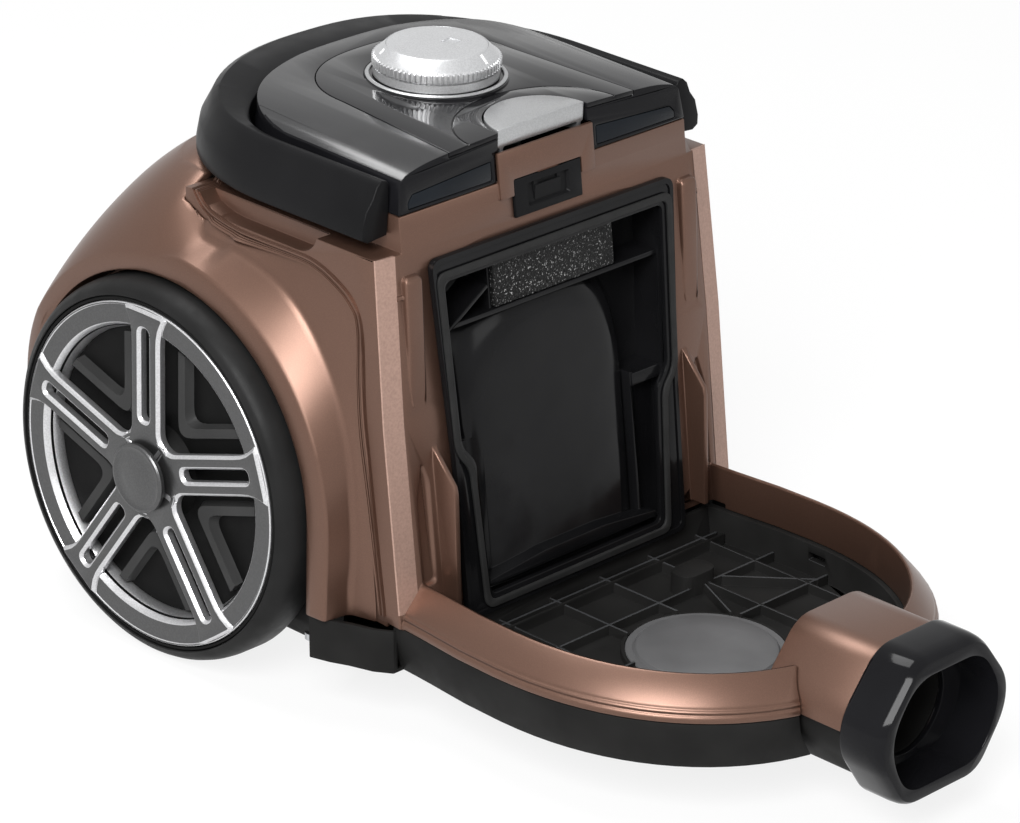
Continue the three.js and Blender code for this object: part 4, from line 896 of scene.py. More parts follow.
def fin_block(side):
    """A fin that guides the bin: it stands on the face, with a rounded top, and narrows to a point."""
    near, far = 86.4, 96.8

    def level(z, reach, round_by=0.0):
        front = face_y(z)
        inner, outer = near + round_by, far - round_by
        edge = 0.9
        outline = [(inner, front + 4), (inner, front - reach + edge), (inner + edge, front - reach)]
        outline += [(outer - edge, front - reach), (outer, front - reach + edge), (outer, front + 4)]
        return [(side * x, y, z) for x, y in outline]

    levels = [level(217.5, 2.2, 1.8), level(217.0, 3.0, 1.0), level(216.0, 3.7, 0.3), level(214.8, 4.0)]
    levels += [level(186, 2.4), level(157, 0.05), level(150, -1.5)]
    return loft(levels, "fin")


def gusset(side):
    """A small foot beside the top of a fin."""
    top = 209.5
    ring = [(96, 3), (96, -1.6), (100.5, 0.3), (100.5, 3)]
    rings = [[(side * x, face_y(z) + d, z) for x, d in ring] for z in (top - 2.2, top)]
    return loft(rings, "gusset")


def leaf_ridge(side):
    """The ridge that guides the bin low down: a thin leaf with a sloping shoulder."""
    foot = RIM_Z - 14
    thick = 1.5
    outline = [(LEAF_Z, 0.8), (LEAF_Z - 4, -2.4), (LEAF_Z - 17, -LEAF_OUT + 0.6), (LEAF_Z - 21, -LEAF_OUT)]
    outline += [(90, -11), (foot, -8.7), (foot, 1), (LEAF_Z, 1)]
    rings = []
    for x in (LEAF_X - thick, LEAF_X + thick):
        rings.append([(side * x, face_y(z) + d, z) for z, d in outline])
    return loft(rings, "leaf")


def leaf_channel(side):
    """The pointed hollow between a leaf and the corner strip."""
    rings = []
    for depth, shrink in ((-1, 0), (1.6, 1.6)):
        near, far, low = 88.5 + shrink, 98.5 - shrink, 70 + shrink
        outline = [(far, low), (far, 112), (93, 131 - 2 * shrink), (near, 120), (near, low)]
        rings.append([(side * x, face_y(z) + depth, z) for x, z in softened(outline, 3)])
    return loft(rings, "channel")


def scoop_block(side):
    """The hollow for the fingers under a side of the carry handle."""
    outline = softened([(-76, 219), (-16, 219), (-1, 226), (6, 240), (-84, 240)], 9)
    return slab(outline, "x", *beside(side, BODY_W - 9, BODY_W + 9))


BEAD_PATH = [
    (3.6, 238), (0.2, 227.7), (-8.8, 219.6), (-26.7, 215.9), (-44.4, 215.5), (-62, 215.8),
    (-77.2, 215.4), (-90.2, 211.4), (-102.2, 204.1), (-108.5, 192.8), (-111.5, 158), (-118, 120),
    (-124, 82), (-127, 64), (-128, 57),
]


def bead_line(side):
    """A raised double bead along the joint of fender and pillar."""
    path = smooth_curve(BEAD_PATH, 10)
    layers = []
    for low, high, proud in (
        (-2.4, -0.1, 0.35), (0.1, 2.4, 0.35), (-2.0, -0.5, 0.8), (0.5, 2.0, 0.8),
        (-1.6, -0.9, 1.1), (0.9, 1.6, 1.1),
    ):
        rings = []
        for i, (y, z) in enumerate(path):
            (py, pz), (qy, qz) = path[max(i - 1, 0)], path[min(i + 1, len(path) - 1)]
            out = Vector((pz - qz, qy - py)).normalized()
            near, far = (y + out.x * low, z + out.y * low), (y + out.x * high, z + out.y * high)
            rings.append([(side * 88, *near), (side * 150, *near), (side * 150, *far), (side * 88, *far)])
        skins = join(dome_block(-proud), front_block(-proud))
        layers.append(meet(loft(rings, "bead"), skins))
    return join(*layers)


def corner_room(side):
    """The place of the grained strip at a front corner of the shell."""
    levels = []
    for z, pillar in (
        (CORNER_LOW_Z, PILLAR_W), (CORNER_MID_Z, PILLAR_W), (CORNER_HIGH_Z, PILLAR_W - 1.5),
        (SHOULDER_Z + 2, BODY_W),
    ):
        front = face_y(z)
        near, far = -pillar - 3, 11 - pillar
        outline = [(near, front - 3), (near, front + 2.7), (far, front + 1.6), (far, front - 3)]
        levels.append(at_height([(-side * x, y) for x, y in outline], z))
    return loft(levels, "corner")


def corner_strip(side):
    """The grained strip from a shoulder down to the rim."""
    return meet(front_block(0), corner_room(side))


def front_shell():
    """Face, pillars, shoulders and the step under the cover, in one shell."""
    block = join(front_block(0), roof_step(0, 200))
    hollow = join(front_block(WALL, SHELL_Z - 3), roof_step(WALL, 190))
    inner = [
        box(-BODY_W + WALL, BODY_W - WALL, -60, BODY_BACK_Y + 5, 30, SHOULDER_Z - WALL),
        box(-ROOF_W + WALL, ROOF_W - WALL, -60, BODY_BACK_Y + 5, 200, ROOF_Z - WALL),
    ]
    behind = box(-140, 140, BODY_BACK_Y, 60, 0, 300)
    window = leaned(grown(FRAME, -3.4), -8, 9)
    under = box(-PILLAR_W - 5, PILLAR_W + 5, -200, -100, SHELL_Z - 10, 51.6)
    return cut(block, hollow, *inner, behind, window, under, corner_room(-1), corner_room(1))


def front_housing(round_by):
    """The front shell with its rim, guides, ledges and tongue, and room for its neighbours."""
    stands = [make(side) for side in (-1, 1) for make in (fin_block, gusset, leaf_ridge)]
    ledges = [
        box(*beside(side, BODY_W - 11.5, BODY_W - 0.5), -86, BODY_BACK_Y, 214, SHOULDER_Z - 1)
        for side in (-1, 1)
    ]
    tongue = leaned_box(-31.5, 31.5, 236.8, 258.8, -1.5, 0.6)
    channels = [leaf_channel(side) for side in (-1, 1)]
    whole = join(cut(front_shell(), *channels), nose_rim(), *stands, *ledges, tongue)
    rooms = [
        meet(
            slab(nose_curve(0), "z", 40, 300),
            box(14 - BODY_W, BODY_W - 14, -330, face_y(60) + 0.2, 30, 58),
        ),
        box(-PILLAR_W - 2, PILLAR_W + 2, -150, -131, 30, 54.1),
        leaned_box(-22.3, 22.3, 226, 244.5, -5, 6),
        scoop_block(-1),
        scoop_block(1),
        disc(14, "x", -BODY_W - 5, BODY_W + 5, 0, WHEEL_R, 48),
        box(-7, 7, -117.6, -91, ROOF_Z - 5, ROOF_Z + 1),
        slab(inlet_section(GAP), "y", INLET_FRONT_Y, INLET_BACK_Y + 20),
    ]
    return rounded(cut(whole, *rooms), round_by)


def nose_rim():
    """The bronze rim of the nose, from pillar to pillar."""
    return round_nose([
        (0, 51.8), (0, RIM_Z - 0.6), (0.4, RIM_Z - 0.1), (1.2, RIM_Z), (2.2, RIM_Z - 0.5), (11.2, 62.2),
        (11.9, 61.2), (12.1, 60.2), (12.7, 60.0), (13.1, 59.4), (13.1, 58.6), (12.7, 58.1), (13.3, 57.7),
        (13.9, 57.1), (14, 56.2), (14, 54.3), (11.5, 54.3), (11.5, 56.4), (2.5, 66.2), (2.5, 51.8),
    ])


def layer(low, high, front=-FAR):
    """Everything between two heights."""
    return box(-FAR, FAR, front, FAR, low, high)


def rear_housing(round_by):
    """The dome with its wheel arches, cut to its neighbours, and the collar under the cover."""
    roof = layer(DOME_TOP_Z - WALL, 2 * FAR)
    hollow = cut(dome_block(WALL), *wheel_wells(WHEEL_R + ARCH_GAP + WALL, BODY_W - WALL), roof)
    shell = cut(dome_block(0), hollow, *wheel_wells(WHEEL_R + ARCH_GAP, BODY_W + GAP))

    def ahead():
        return box(-BODY_W - GAP, BODY_W + GAP, -FAR, BODY_BACK_Y + GAP, 0, 2 * FAR)

    front = join(front_block(-GAP, SHELL_Z - 30), roof_step(-GAP, 200), ahead())
    below, above = layer(-60, SHELL_Z), layer(DOME_TOP_Z, 2 * FAR, -60)
    low, high = span("exhaust_grille")
    grille = box(low.x - GAP, high.x + GAP, 80, 140, low.z - GAP, high.z + GAP)
    gland_low, gland_high = span("cord_gland")
    gland = disc(9.3, "y", 80, 140, (gland_low.x + gland_high.x) / 2, (gland_low.z + gland_high.z) / 2)
    low, high = span("rewind_pedal")
    pedal = box(low.x - 0.4, high.x + 0.4, low.y - AXLE_Y - 0.4, high.y - AXLE_Y + 0.4, 150, 260)
    axle = disc(14, "x", -BODY_W - 5, BODY_W + 5, 0, WHEEL_R, 48)
    shell = cut(shell, front, below, above, axle, grille, gland, pedal)
    collar = cut(
        slab(cover_plan(0.5, ROOF_Z), "z", HANDLE_LOW_Z - 3.5, ROOF_Z - 1.5),
        slab(cover_plan(0.5 + WALL, ROOF_Z), "z", 200, 260),
        ahead(),
    )
    return rounded(join(shell, collar), round_by)


def rewind_pedal(round_by):
    """The rewind key, flush with the skin, with its stem and spring pad."""
    low, high = span("rewind_pedal")
    spring_low, spring_high = span("pedal_spring")
    lever = span("brake_lever")[1]
    cap = cut(dome_block(-0.8), dome_block(2.2))
    cap = meet(cap, box(low.x, high.x, low.y - AXLE_Y, high.y - AXLE_Y, 150, 260))
    x, y = (spring_low.x + spring_high.x) / 2, (spring_low.y + spring_high.y) / 2 - AXLE_Y
    stem = box(lever.x - 5.5, lever.x - 0.5, 74, 79, low.z, 215)
    pad = disc(5.5, "z", spring_high.z + PEDAL_TRAVEL + 0.4, 215, x, y, 32)
    return rounded(join(cap, meet(join(stem, pad), dome_block(1))), round_by)


def exhaust_grille(round_by):
    """The louvred plate behind the exhaust filter."""
    low, high = span("exhaust_grille")
    plate = cut(dome_block(0), dome_block(WALL))
    plate = meet(plate, box(low.x, high.x, 80, 140, low.z, high.z))
    slots = 10
    pitch = (high.z - low.z - 8) / slots
    gap = box(low.x + 5, high.x - 5, 70, 150, low.z + 4 + pitch * 0.27, low.z + 4 + pitch * 0.73)
    return rounded(cut(plate, copies(gap, slots, step=(0, 0, pitch))), round_by)


# ---- Base ----


def base_tray(round_by):
    """The black tray: skirt, deck with its ribs, inner wall and the tub between the wheels."""
    skirt = round_nose([
        (8.5, NOSE_LOW_Z), (11.5, 40), (13.3, 48.6), (13.3, 53.8), (10.8, 53.8), (10.8, 48.5),
        (5.5, NOSE_LOW_Z + WALL), (0, NOSE_LOW_Z + WALL),
    ])
    wall = round_nose([(-2.6, DECK_Z - 2), (-2.6, 51.5), (1.6, 51.5), (1.6, DECK_Z - 2)])
    floor = slab(nose_curve(0.5), "z", DECK_Z - WALL, DECK_Z)
    half = BODY_W - 15
    back = leaned_box(-half, half, DECK_Z - 2, 51.2, 0.6, 3.4)
    inside = slab(grown(nose_curve(-2.6), -0.2), "z", DECK_Z - 2, DECK_Z + 6)
    ribs = meet(deck_ribs(), inside)
    tub = cut(
        loft([tub_ring(20, 6), tub_ring(NOSE_LOW_Z, 0.8), tub_ring(SHELL_Z - 0.3, 0)]),
        loft([tub_ring(20 + WALL, 9.5), tub_ring(NOSE_LOW_Z + 2, 3.5), tub_ring(SHELL_Z + 5, WALL)]),
    )
    boss = softened([(36, -183), (58, -183), (58, -169), (36, -169)], 6.8)
    boss = slab(boss, "z", DECK_Z - 1, DECK_Z + 11)
    ring = disc(CASTER_CAP_R + 2, "z", DECK_Z - 1, DECK_Z + 3, 0, CASTER_Y, 96)
    rooms = [
        wall_slot(-1),
        wall_slot(1),
        disc(CASTER_CAP_R + GAP, "z", DECK_Z + 0.8, DECK_Z + 9, 0, CASTER_Y, 96),
        slab(inlet_section(GAP), "y", INLET_FRONT_Y, INLET_BACK_Y - GAP),
        disc(29.4, "y", INLET_BACK_Y - 3, INLET_BACK_Y + 3, 0, INLET_Z, 64),
    ]
    return rounded(cut(join(skirt, wall, floor, back, tub, ribs, boss, ring), *rooms), round_by)


def wall_slot(side):
    """A slot for the bin's catch through the inner wall of the nose."""
    return box(*beside(side, 92, 106), -214, -203, 43, 47)


def tub_ring(z, inset):
    """A level of the tub, with its lower front corners rounded as the skirt is."""
    well_y = -WHEEL_R - ARCH_GAP - 1
    side = BODY_W - 3 - inset
    back = max(0, NOSE_LOW_Z - z) * TUB_RISE
    wing, arch_y = FENDER_X - 1 - inset - back, well_y + back / 2
    left = [
        (40 - BODY_W, 115 - inset), (-side, 84), (-side, arch_y), (-wing, arch_y),
        (3 - wing, -107 + back / 2), (7 - wing, -116 + back), (11 - wing, -128 + back),
        (min(back, 8) + inset - PILLAR_W, -136 + back),
    ]
    return at_height(both_sides(left), z)


def deck_ribs():
    """The grid that stiffens the deck, with two slanting ribs."""
    z0, z1 = DECK_Z - 1, DECK_Z + 5
    pitch = 34
    across = copies(box(-85.7, -84.3, -300, -140, z0, z1), 6, (pitch, 0, 0), finish_name="grained")
    along_y = box(-RIM_W, RIM_W, -148.7, -147.3, z0, z1)
    lengthways = copies(along_y, 5, (0, -pitch, 0), finish_name="grained")
    slant = slab([(50, -178), (51.4, -177.6), (34, -214), (32.6, -214.4)], "z", z0, z1)
    brace = slab([(60, -183), (61, -182), (92, -216), (91, -217)], "z", z0, z1)
    frame = slab([(-95, -153.7), (95, -153.7), (95, -152.3), (-95, -152.3)], "z", z0, z1 + 4)
    return join(across, lengthways, slant, brace, frame)


def caster_cap():
    """The low disc over the caster: a dark ledge and a crowned middle."""
    r = CASTER_CAP_R
    z = DECK_Z + 1.1
    profile = [
        (0.02, z), (r, z), (r, z + 1.6), (r - 0.4, z + 2.1), (r - 3.4, z + 2.2), (r - 3.8, z + 1.9),
        (r - 4.2, z + 2.3), (r - 4.8, z + 3.2), (r - 6, z + 3.7), (r - 18, z + 4.4), (0.02, z + 4.6),
    ]
    return turned(profile, "z", 128, 0, CASTER_Y)


# ---- Top ----


def strip_room(side, by, start, end):
    """A plate let into the front of the cover beside the button."""
    near, far = STRIP_IN - by, STRIP_OUT + by
    low = ROOF_Z + 2.2 - by
    outline = [(near, low), (near, 255.5 + by), (far - 3, 252.8 + by), (far, 249.6 + by), (far, low)]
    return leaned([(side * x, z) for x, z in outline], start, end)


def column(plan):
    """A plan carried up through the top of the cover."""
    return slab(plan, "z", 240, 290)


def top_cover(round_by):
    """The arched shell of the top, with room for panel, button, latch tongue and strips."""
    def body(inset, low):
        levels = (ROOF_Z + GAP - low, COVER_EDGE_Z, 280)
        return loft([at_height(cover_plan(inset, max(z, ROOF_Z + GAP)), z) for z in levels], "cover")

    shell = cut(meet(body(0, 0), under_crown(0)), meet(body(WALL, 5), under_crown(WALL)))
    lip = leaned_box(-99, 99, 230, 280, -4, 3.4)
    rooms = [
        cut(column(panel_plan(GAP)), under_crown(WALL + 0.2)),
        box(-BUTTON_W - 0.8, BUTTON_W + 0.8, -160, -100, 250, 300),
        cut(column(panel_plan(-4)), lip),
        leaned_box(-31.8, 31.8, 240, 259.1, -10, 12),
        strip_room(-1, GAP, -3, 1.3),
        strip_room(1, GAP, -3, 1.3),
    ]
    return rounded(cut(shell, *rooms), round_by)


def control_panel(round_by):
    """The polished plate with the dial's seat and the fine oval line round dial and button."""
    plate = cut(meet(column(panel_plan(0)), under_crown(0)), under_crown(WALL - 0.1))
    ahead = box(-99, 99, -150, face_y(COVER_EDGE_Z) + 0.2, 200, 300)
    seat_z = crown_z(KNOB_Y)
    body = join(cut(plate, ahead), disc(KNOB_R + 3.4, "z", seat_z - 3, seat_z, 0, KNOB_Y, 96))
    ovals = []
    for grow in (GAP, -GAP):
        ring = [(math.cos(math.pi * k / 36), math.sin(math.pi * k / 36)) for k in range(72)]
        oval = [((48 + grow) * x, (36 + grow) * y + COVER_FRONT_Y) for x, y in ring]
        ovals.append(column(oval))
    body = cut(
        body,
        cut(ovals[0], ovals[1], under_crown(0.5)),
        disc(KNOB_R + 3.4, "z", seat_z, 290, 0, KNOB_Y, 96),
        disc(8, "z", 240, 290, 0, KNOB_Y, 32),
        column(button_plan(0.8)),
    )
    return rounded(body, round_by)


def front_strip(side):
    """A dark plate in the front of the cover."""
    return rounded(strip_room(side, 0, 0.1, 1), 0.25)


def release_button(round_by):
    """The D-shaped key with its skirt."""

    def ahead():
        return box(-60, 60, -150, face_y(COVER_EDGE_Z) + 1.2, 200, 300)

    top = cut(meet(slab(button_plan(0), "z", 259.6, 280), under_crown(-0.8)), ahead())
    skirt = cut(slab(button_plan(-1.5), "z", 255.5, 264), slab(button_plan(-4), "z", 250, 262), ahead())
    return rounded(join(top, skirt), round_by)


def latch_plate():
    """The plate behind the latch, with its recess and bridge."""
    plate = rounded(leaned_box(-22, 22, 226.3, 244.2, -1.2, 1.2), 0.5)
    recess = loft(
        [
            [(x, face_y(z) + d, z) for x, z in softened(ring, 1.2)]
            for ring, d in (
                ([(-14, 229.6), (14, 229.6), (14, 241), (-14, 241)], -1.6),
                ([(-13, 230.6), (13, 230.6), (13, 240), (-13, 240)], 0.3),
            )
        ],
        "recess",
    )
    bridge = leaned_box(-9, 9, 240.6, 235.2, -0.5, 1.0)
    slot = leaned(softened([(-6.5, 240.4), (-6.5, 237), (6.5, 237), (6.5, 240.4)], 0.8), -3, 0.6)
    return join(cut(plate, recess), cut(bridge, slot))


def knob_body(ridges):
    """The dial: smooth skirt, knurled band, bevel and the seat of its cap."""
    top = KNOB_HIGH.z
    r = KNOB_R
    base = crown_z(KNOB_Y)
    profile = [
        (r - 2.5, base + 0.8), (r - 0.9, base + 0.8), (r - 0.6, base + 1.1), (r - 0.9, base + 4.8),
        (r - 2.0, base + 5.2), (r - 2.0, base + 5.7), (r - 1.2, base + 5.9), (r - 1.2, base + 9.5),
        (r - 1.5, base + 10.3), (r - 2.1, base + 10.9), (r - 6.4, top - 1.0), (r - 6.6, top - 0.9),
        (r - 6.7, top - 1.2), (r - 6.7, top - 2.8), (3.4, top - 2.8), (3.4, base - 6), (6, base - 6),
        (6, top - 5), (r - 6, top - 5),
    ]
    dial = turned(profile, "z", 144, 0, 0)
    half = math.pi * r / ridges * 0.5
    wide, narrow = half * 1.3, half * 0.55

    def level(root, crest, z):
        return [(root, -wide, z), (crest, -narrow, z), (crest, narrow, z), (root, wide, z)]

    foot, shoulder = level(r - 2.0, r - 0.1, base + 5.9), level(r - 2.0, r - 0.1, base + 9.7)
    ridge = loft([foot, shoulder, level(r - 2.6, r - 1.6, base + 10.4)], "ridge")
    knurl = copies(ridge, ridges, turn=(0, 0, 2 * math.pi / ridges), finish_name="silver")
    whole = join(dial, knurl)
    whole.data.transform(Matrix.Translation((0, KNOB_Y, 0)))
    return whole


def knob_cap():
    """The pale disc on the dial, with a square dimple."""
    top = KNOB_HIGH.z
    r = KNOB_R - 6.75
    profile = [
        (0.02, top - 2.6), (r, top - 2.6), (r, top - 1.0), (r - 0.4, top - 0.75), (r - 1.4, top - 0.6),
        (r - 9, top - 0.3), (0.02, top - 0.15),
    ]
    cap = turned(profile, "z", 128, 0, 0)
    dimple = rounded(box(1.5, 9, -8, -1, top - 0.9, top + 2), 0.4)
    dimple.data.transform(Matrix.Rotation(DIAL_TURN, 4, "Z"))
    whole = cut(cap, dimple)
    whole.data.transform(Matrix.Translation((0, KNOB_Y, 0)))
    return whole


def knob_marks():
    """Two short lines on the bevel of the dial."""
    top = KNOB_HIGH.z
    base = crown_z(KNOB_Y)
    r = KNOB_R
    lines = []
    for turn, reach in ((DIAL_TURN, 0.85), (DIAL_TURN - MARK_TURN, 0.5)):
        rings = []
        for share in (0.5 - reach / 2, 0.5 + reach / 2):
            radius = r - 2.1 - 4.3 * share
            high = base + 10.9 + (top - 1.0 - base - 10.9) * share
            corners = ((-0.8, -0.3), (0.8, -0.3), (0.8, 0.16), (-0.8, 0.16))
            rings.append([(x, -radius, high + z) for x, z in corners])
        line = loft(rings, "mark")
        line.data.transform(Matrix.Translation((0, KNOB_Y, 0)) @ Matrix.Rotation(turn, 4, "Z"))
        lines.append(line)
    return gather("marks", *lines)


def knob_ring():
    """The bright ring round the dial's seat."""
    base = crown_z(KNOB_Y)
    inner, outer = KNOB_R + 0.9, KNOB_R + 2.8
    profile = [
        (inner, base + 0.3), (outer, base + 0.3), (outer, base + 0.6), (outer - 0.5, base + 1.0),
        (inner + 0.9, base + 1.2), (inner + 0.3, base + 1.2), (inner, base + 0.9),
    ]
    return turned(profile, "z", 144, 0, KNOB_Y)


def carry_handle(round_by):
    """The band that lies round the cover, thick and rounded, hinged at its front ends."""
    gap = 3

    def curve(width, back_y, power):
        return bow(width, HANDLE_FRONT_Y, COVER_SQUARE_Y, back_y, power, HANDLE_STEPS)

    inner = curve(ROOF_W + 0.5, COVER_BACK_Y + gap, 2.5)
    inner_low = curve(ROOF_W + 1.3, COVER_BACK_Y + 9, 2.4)
    crest_in = curve(ROOF_W + 1.6, COVER_BACK_Y + 8, 2.5)
    crest = curve(99.5, 45, 2.5)
    brow = curve(102.6, 50.5, 2.4)
    flank = curve(105, 55, 2.3)
    cheek = curve(109.0, 58.8, 2.25)
    outer = curve(111.5, 61, 2.2)
    under = curve(108, 56, 2.2)

    def section(i):
        share = min(max((i / HANDLE_STEPS * 9 - 2) / 7, 0), 1)
        top = HANDLE_TOP_Z + 6 * share * share * (3 - 2 * share)
        low = HANDLE_LOW_Z
        points = [
            (inner[i], top - 2.6), (crest_in[i], top - 0.9), (crest[i], top), (brow[i], top - 2.6),
            (flank[i], top - 8.0), (cheek[i], (top - 9 + low + 6) / 2 + 2.6), (outer[i], low + 7),
            (outer[i], low + 2), (under[i], low), (inner_low[i], low + 1), (inner[i], low + 12),
        ]
        return [(x, y, z) for (x, y), z in points]

    left = [section(i) for i in range(len(inner))]
    right = [[(-x, y, z) for x, y, z in ring] for ring in reversed(left[:-1])]
    band = loft(left + right, "handle")
    bores = [
        disc(3.4, "x", *beside(side, ROOF_W, ROOF_W + 9), -104, 239, 32) for side in (-1, 1)
    ]
    return rounded(cut(band, *bores), round_by, steps=3)


# ---- Wheels, drawn about the axle with the outside towards +X ----


def on_axle(piece, side):
    """Turns a right-hand wheel piece into a left-hand one, and lifts it to the axle."""
    turn = Matrix.Rotation(math.pi, 4, "Z") if side < 0 else Matrix.Identity(4)
    piece.data.transform(Matrix.Translation((0, 0, WHEEL_R)) @ turn)
    return piece


def tyre(side):
    """The tyre, with a rounded shoulder outside."""
    seat = TRIM_R + 2.5
    inner = [(seat, 0), (WHEEL_R - 3, 0), (WHEEL_R - 1, 1.2), (WHEEL_R, 4)]
    outer = [
        (WHEEL_R, 12), (WHEEL_R - 0.4, 8.5), (WHEEL_R - 1.3, 5.5), (WHEEL_R - 2.8, 2.8), (WHEEL_R - 4.6, 1.1),
        (WHEEL_R - 6.4, 0.3), (seat + 0.4, 0), (seat, 0.4),
    ]
    tread = [(r, TYRE_IN_X + x) for r, x in inner] + [(r, TYRE_OUT_X - x) for r, x in outer]
    return on_axle(turned(tread, "x", 192), side)


def wheel_disc(side):
    """The black dish behind the spokes."""
    rim = TRIM_R + 2.2
    floor, face, lip = TYRE_OUT_X - 10, TYRE_OUT_X - 3.6, TYRE_OUT_X - 0.6
    bore = 5.4
    profile = [
        (bore, TYRE_IN_X), (12, TYRE_IN_X), (12, floor - 6), (TRIM_R - 4, floor - 3),
        (TRIM_R - 4, TYRE_IN_X + 1), (rim, TYRE_IN_X + 1), (rim, lip - 0.5), (rim - 0.5, lip),
        (TRIM_R + 0.6, lip), (TRIM_R + 0.6, face), (RING_R + 1, face), (RING_R + 0.5, floor),
        (24, floor), (20, face), (bore, face),
    ]
    return on_axle(turned(profile, "x", 192), side)


def pocket_frames(side):
    """A bevelled V in each gap between the spokes."""
    floor = TYRE_OUT_X - 10
    outer = loft([pocket(5.0, floor - 0.5), pocket(5.0, floor), pocket(6.6, floor + 4.6)], "frame")
    inner = loft([pocket(13, floor - 1), pocket(12.4, floor), pocket(11.0, floor + 5)], "room")
    frame = meet(cut(outer, inner), disc(RING_R - 2.5, "x", floor - 2, floor + 7, 0, 0, 96))
    return on_axle(copies(frame, SPOKES, turn=SPOKE_TURN, finish_name="satin"), side)


def pocket(clear, x):
    """The wedge between two spokes, moved in from their sides, at one depth."""
    half = math.pi / SPOKES
    apex = (SPOKE_HALF + clear) / math.sin(half)
    near = Vector((apex * math.sin(half), apex * math.cos(half)))
    first = near + Vector((0, 90))
    last = near + Vector((math.sin(2 * half), math.cos(2 * half))) * 90
    outline = softened([tuple(first), tuple(near), tuple(last)], 9)
    return [(x, -u, v) for u, v in outline]


def spoke_outline(half):
    """Half of a spoke's plan, from the hub to the flare on the ring."""
    turn = math.pi / SPOKES
    fillet = 8
    reach = (half + fillet) / math.tan(turn)
    side = []
    for k in range(7):
        lean = (math.pi / 2 - turn) * (1 - k / 6)
        side.append((half + fillet - fillet * math.cos(lean), reach - fillet * math.sin(lean)))
    side += [(half, 66), (half + 0.2, 71), (half + 1.1, 75.4), (half + 2.8, 79.2), (half + 4.7, 82.3)]
    return side + [(half + 1.5, 83.2)]


def wheel_trim(side, spoke_w):
    """Ring, five twin spokes with wide bevels and hub, in one."""
    back = TYRE_OUT_X - 3.3
    face, half = TYRE_OUT_X + 1.6, spoke_w / 2
    edge = TYRE_OUT_X
    rim = [
        (RING_R - 0.6, edge - 10.2), (TRIM_R, back - 2), (TRIM_R, edge - 0.4), (TRIM_R - 0.6, edge),
        (TRIM_R - 1.1, edge), (TRIM_R - 1.5, edge - 0.4), (RING_R + 3.4, edge - 0.6),
        (RING_R + 2.8, edge - 1.0), (RING_R - 0.6, edge - 7.8),
    ]
    hub = [
        (11, back), (22, back), (21.4, face - 0.1), (19.6, face), (19.2, face - 0.2), (18.6, face - 1.3),
        (17.6, face - 1.4), (17.4, face - 1.6), (11, face - 1.6),
    ]
    plan = spoke_outline(half)
    plan = [(0, 1)] + plan + [(0, 83.4)] + [(-y, z) for y, z in reversed(plan)]

    def raised(outline, x):
        return [(x, y, z) for y, z in outline]

    whole = join(turned(rim, "x", 160), turned(hub, "x", 96))
    for i in range(SPOKES):
        bar = loft([
            raised(plan, back), raised(plan, face - 1.7), raised(grown(plan, -1.5), face - 0.15),
            raised(grown(plan, -2.1), face),
        ])
        bar.data.transform(Matrix.Rotation(2 * math.pi * i / SPOKES, 4, "X"))
        whole = join(whole, bar)
    slot = softened([(-3.1, 27.5), (3.1, 27.5), (3.1, 74), (-3.1, 74)], 3.0)
    wide = grown(slot, 1.3)
    room = loft([
        raised(slot, back - 1), raised(slot, face - 1.5), raised(wide, face + 0.1), raised(wide, face + 9),
    ])
    slots = copies(room, SPOKES, turn=SPOKE_TURN, finish_name="wheel")
    return on_axle(rounded(cut(whole, slots), 0.25, angle=50), side)


def hub_cap(side):
    """The stepped cap over an axle bolt."""
    back, r = TYRE_OUT_X + 4, 17
    profile = [
        (0.02, back), (r, back), (r, back + 1.8), (r - 0.6, back + 2.5), (r - 1.6, back + 2.7),
        (r - 2.6, back + 2.2), (r - 4, back + 2.1), (r - 8, back + 2.6), (6, back + 3.0), (0.02, back + 3.2),
    ]
    return on_axle(turned(profile, "x", 96), side)


# ---- Hose inlet ----


def inlet_sleeve(round_by):
    """The bronze hood over the inlet."""
    shell = cut(
        slab(inlet_section(-0.3), "y", COLLAR_Y + 0.3, INLET_BACK_Y),
        slab(inlet_section(-2.4), "y", COLLAR_Y - 5, INLET_BACK_Y + 9),
    )
    return rounded(cut(shell, box(-90, 90, -2 * FAR, -FAR, 0, INLET_Z)), round_by)


def inlet_duct(round_by):
    """The duct under the hood, with the bore of the hose."""
    outer = slab(inlet_section(-2.7), "y", COLLAR_Y + 0.3, INLET_BACK_Y - 1)
    return rounded(cut(outer, disc(24, "y", COLLAR_Y - 5, INLET_BACK_Y + 5, 0, INLET_Z, 96)), round_by)


def inlet_collar(round_by):
    """The thick black collar with its deep port."""
    def ring(by, y):
        return [(x, y, z) for x, z in inlet_section(by, 9, 8)]

    outer = loft([
        ring(-2.0, INLET_FRONT_Y), ring(-0.4, INLET_FRONT_Y + 0.5), ring(1.0, INLET_FRONT_Y + 2.2),
        ring(2.0, INLET_FRONT_Y + 5), ring(2.5, INLET_FRONT_Y + 9), ring(2.5, COLLAR_Y - 2.4),
        ring(2.2, COLLAR_Y - 1), ring(1.0, COLLAR_Y),
    ], "collar")
    mouth = [(x, z) for x, z in inlet_section(-6.5, 11, 8)]
    outer = cut(
        outer,
        slab(mouth, "y", INLET_FRONT_Y - 5, COLLAR_Y - 3),
        disc(24, "y", COLLAR_Y - 6, COLLAR_Y + 5, 0, INLET_Z, 96),
    )
    return rounded(outer, round_by, angle=50)


def inlet_seal():
    """The lipped ring where the bin docks."""
    y = INLET_BACK_Y - 0.7
    profile = [(24.5, y), (29, y), (29.2, y + 0.8), (28, y + 2.4), (25.2, y + 2.4)]
    return turned(profile, "y", 96, 0, INLET_Z)


# ---- Bay ----


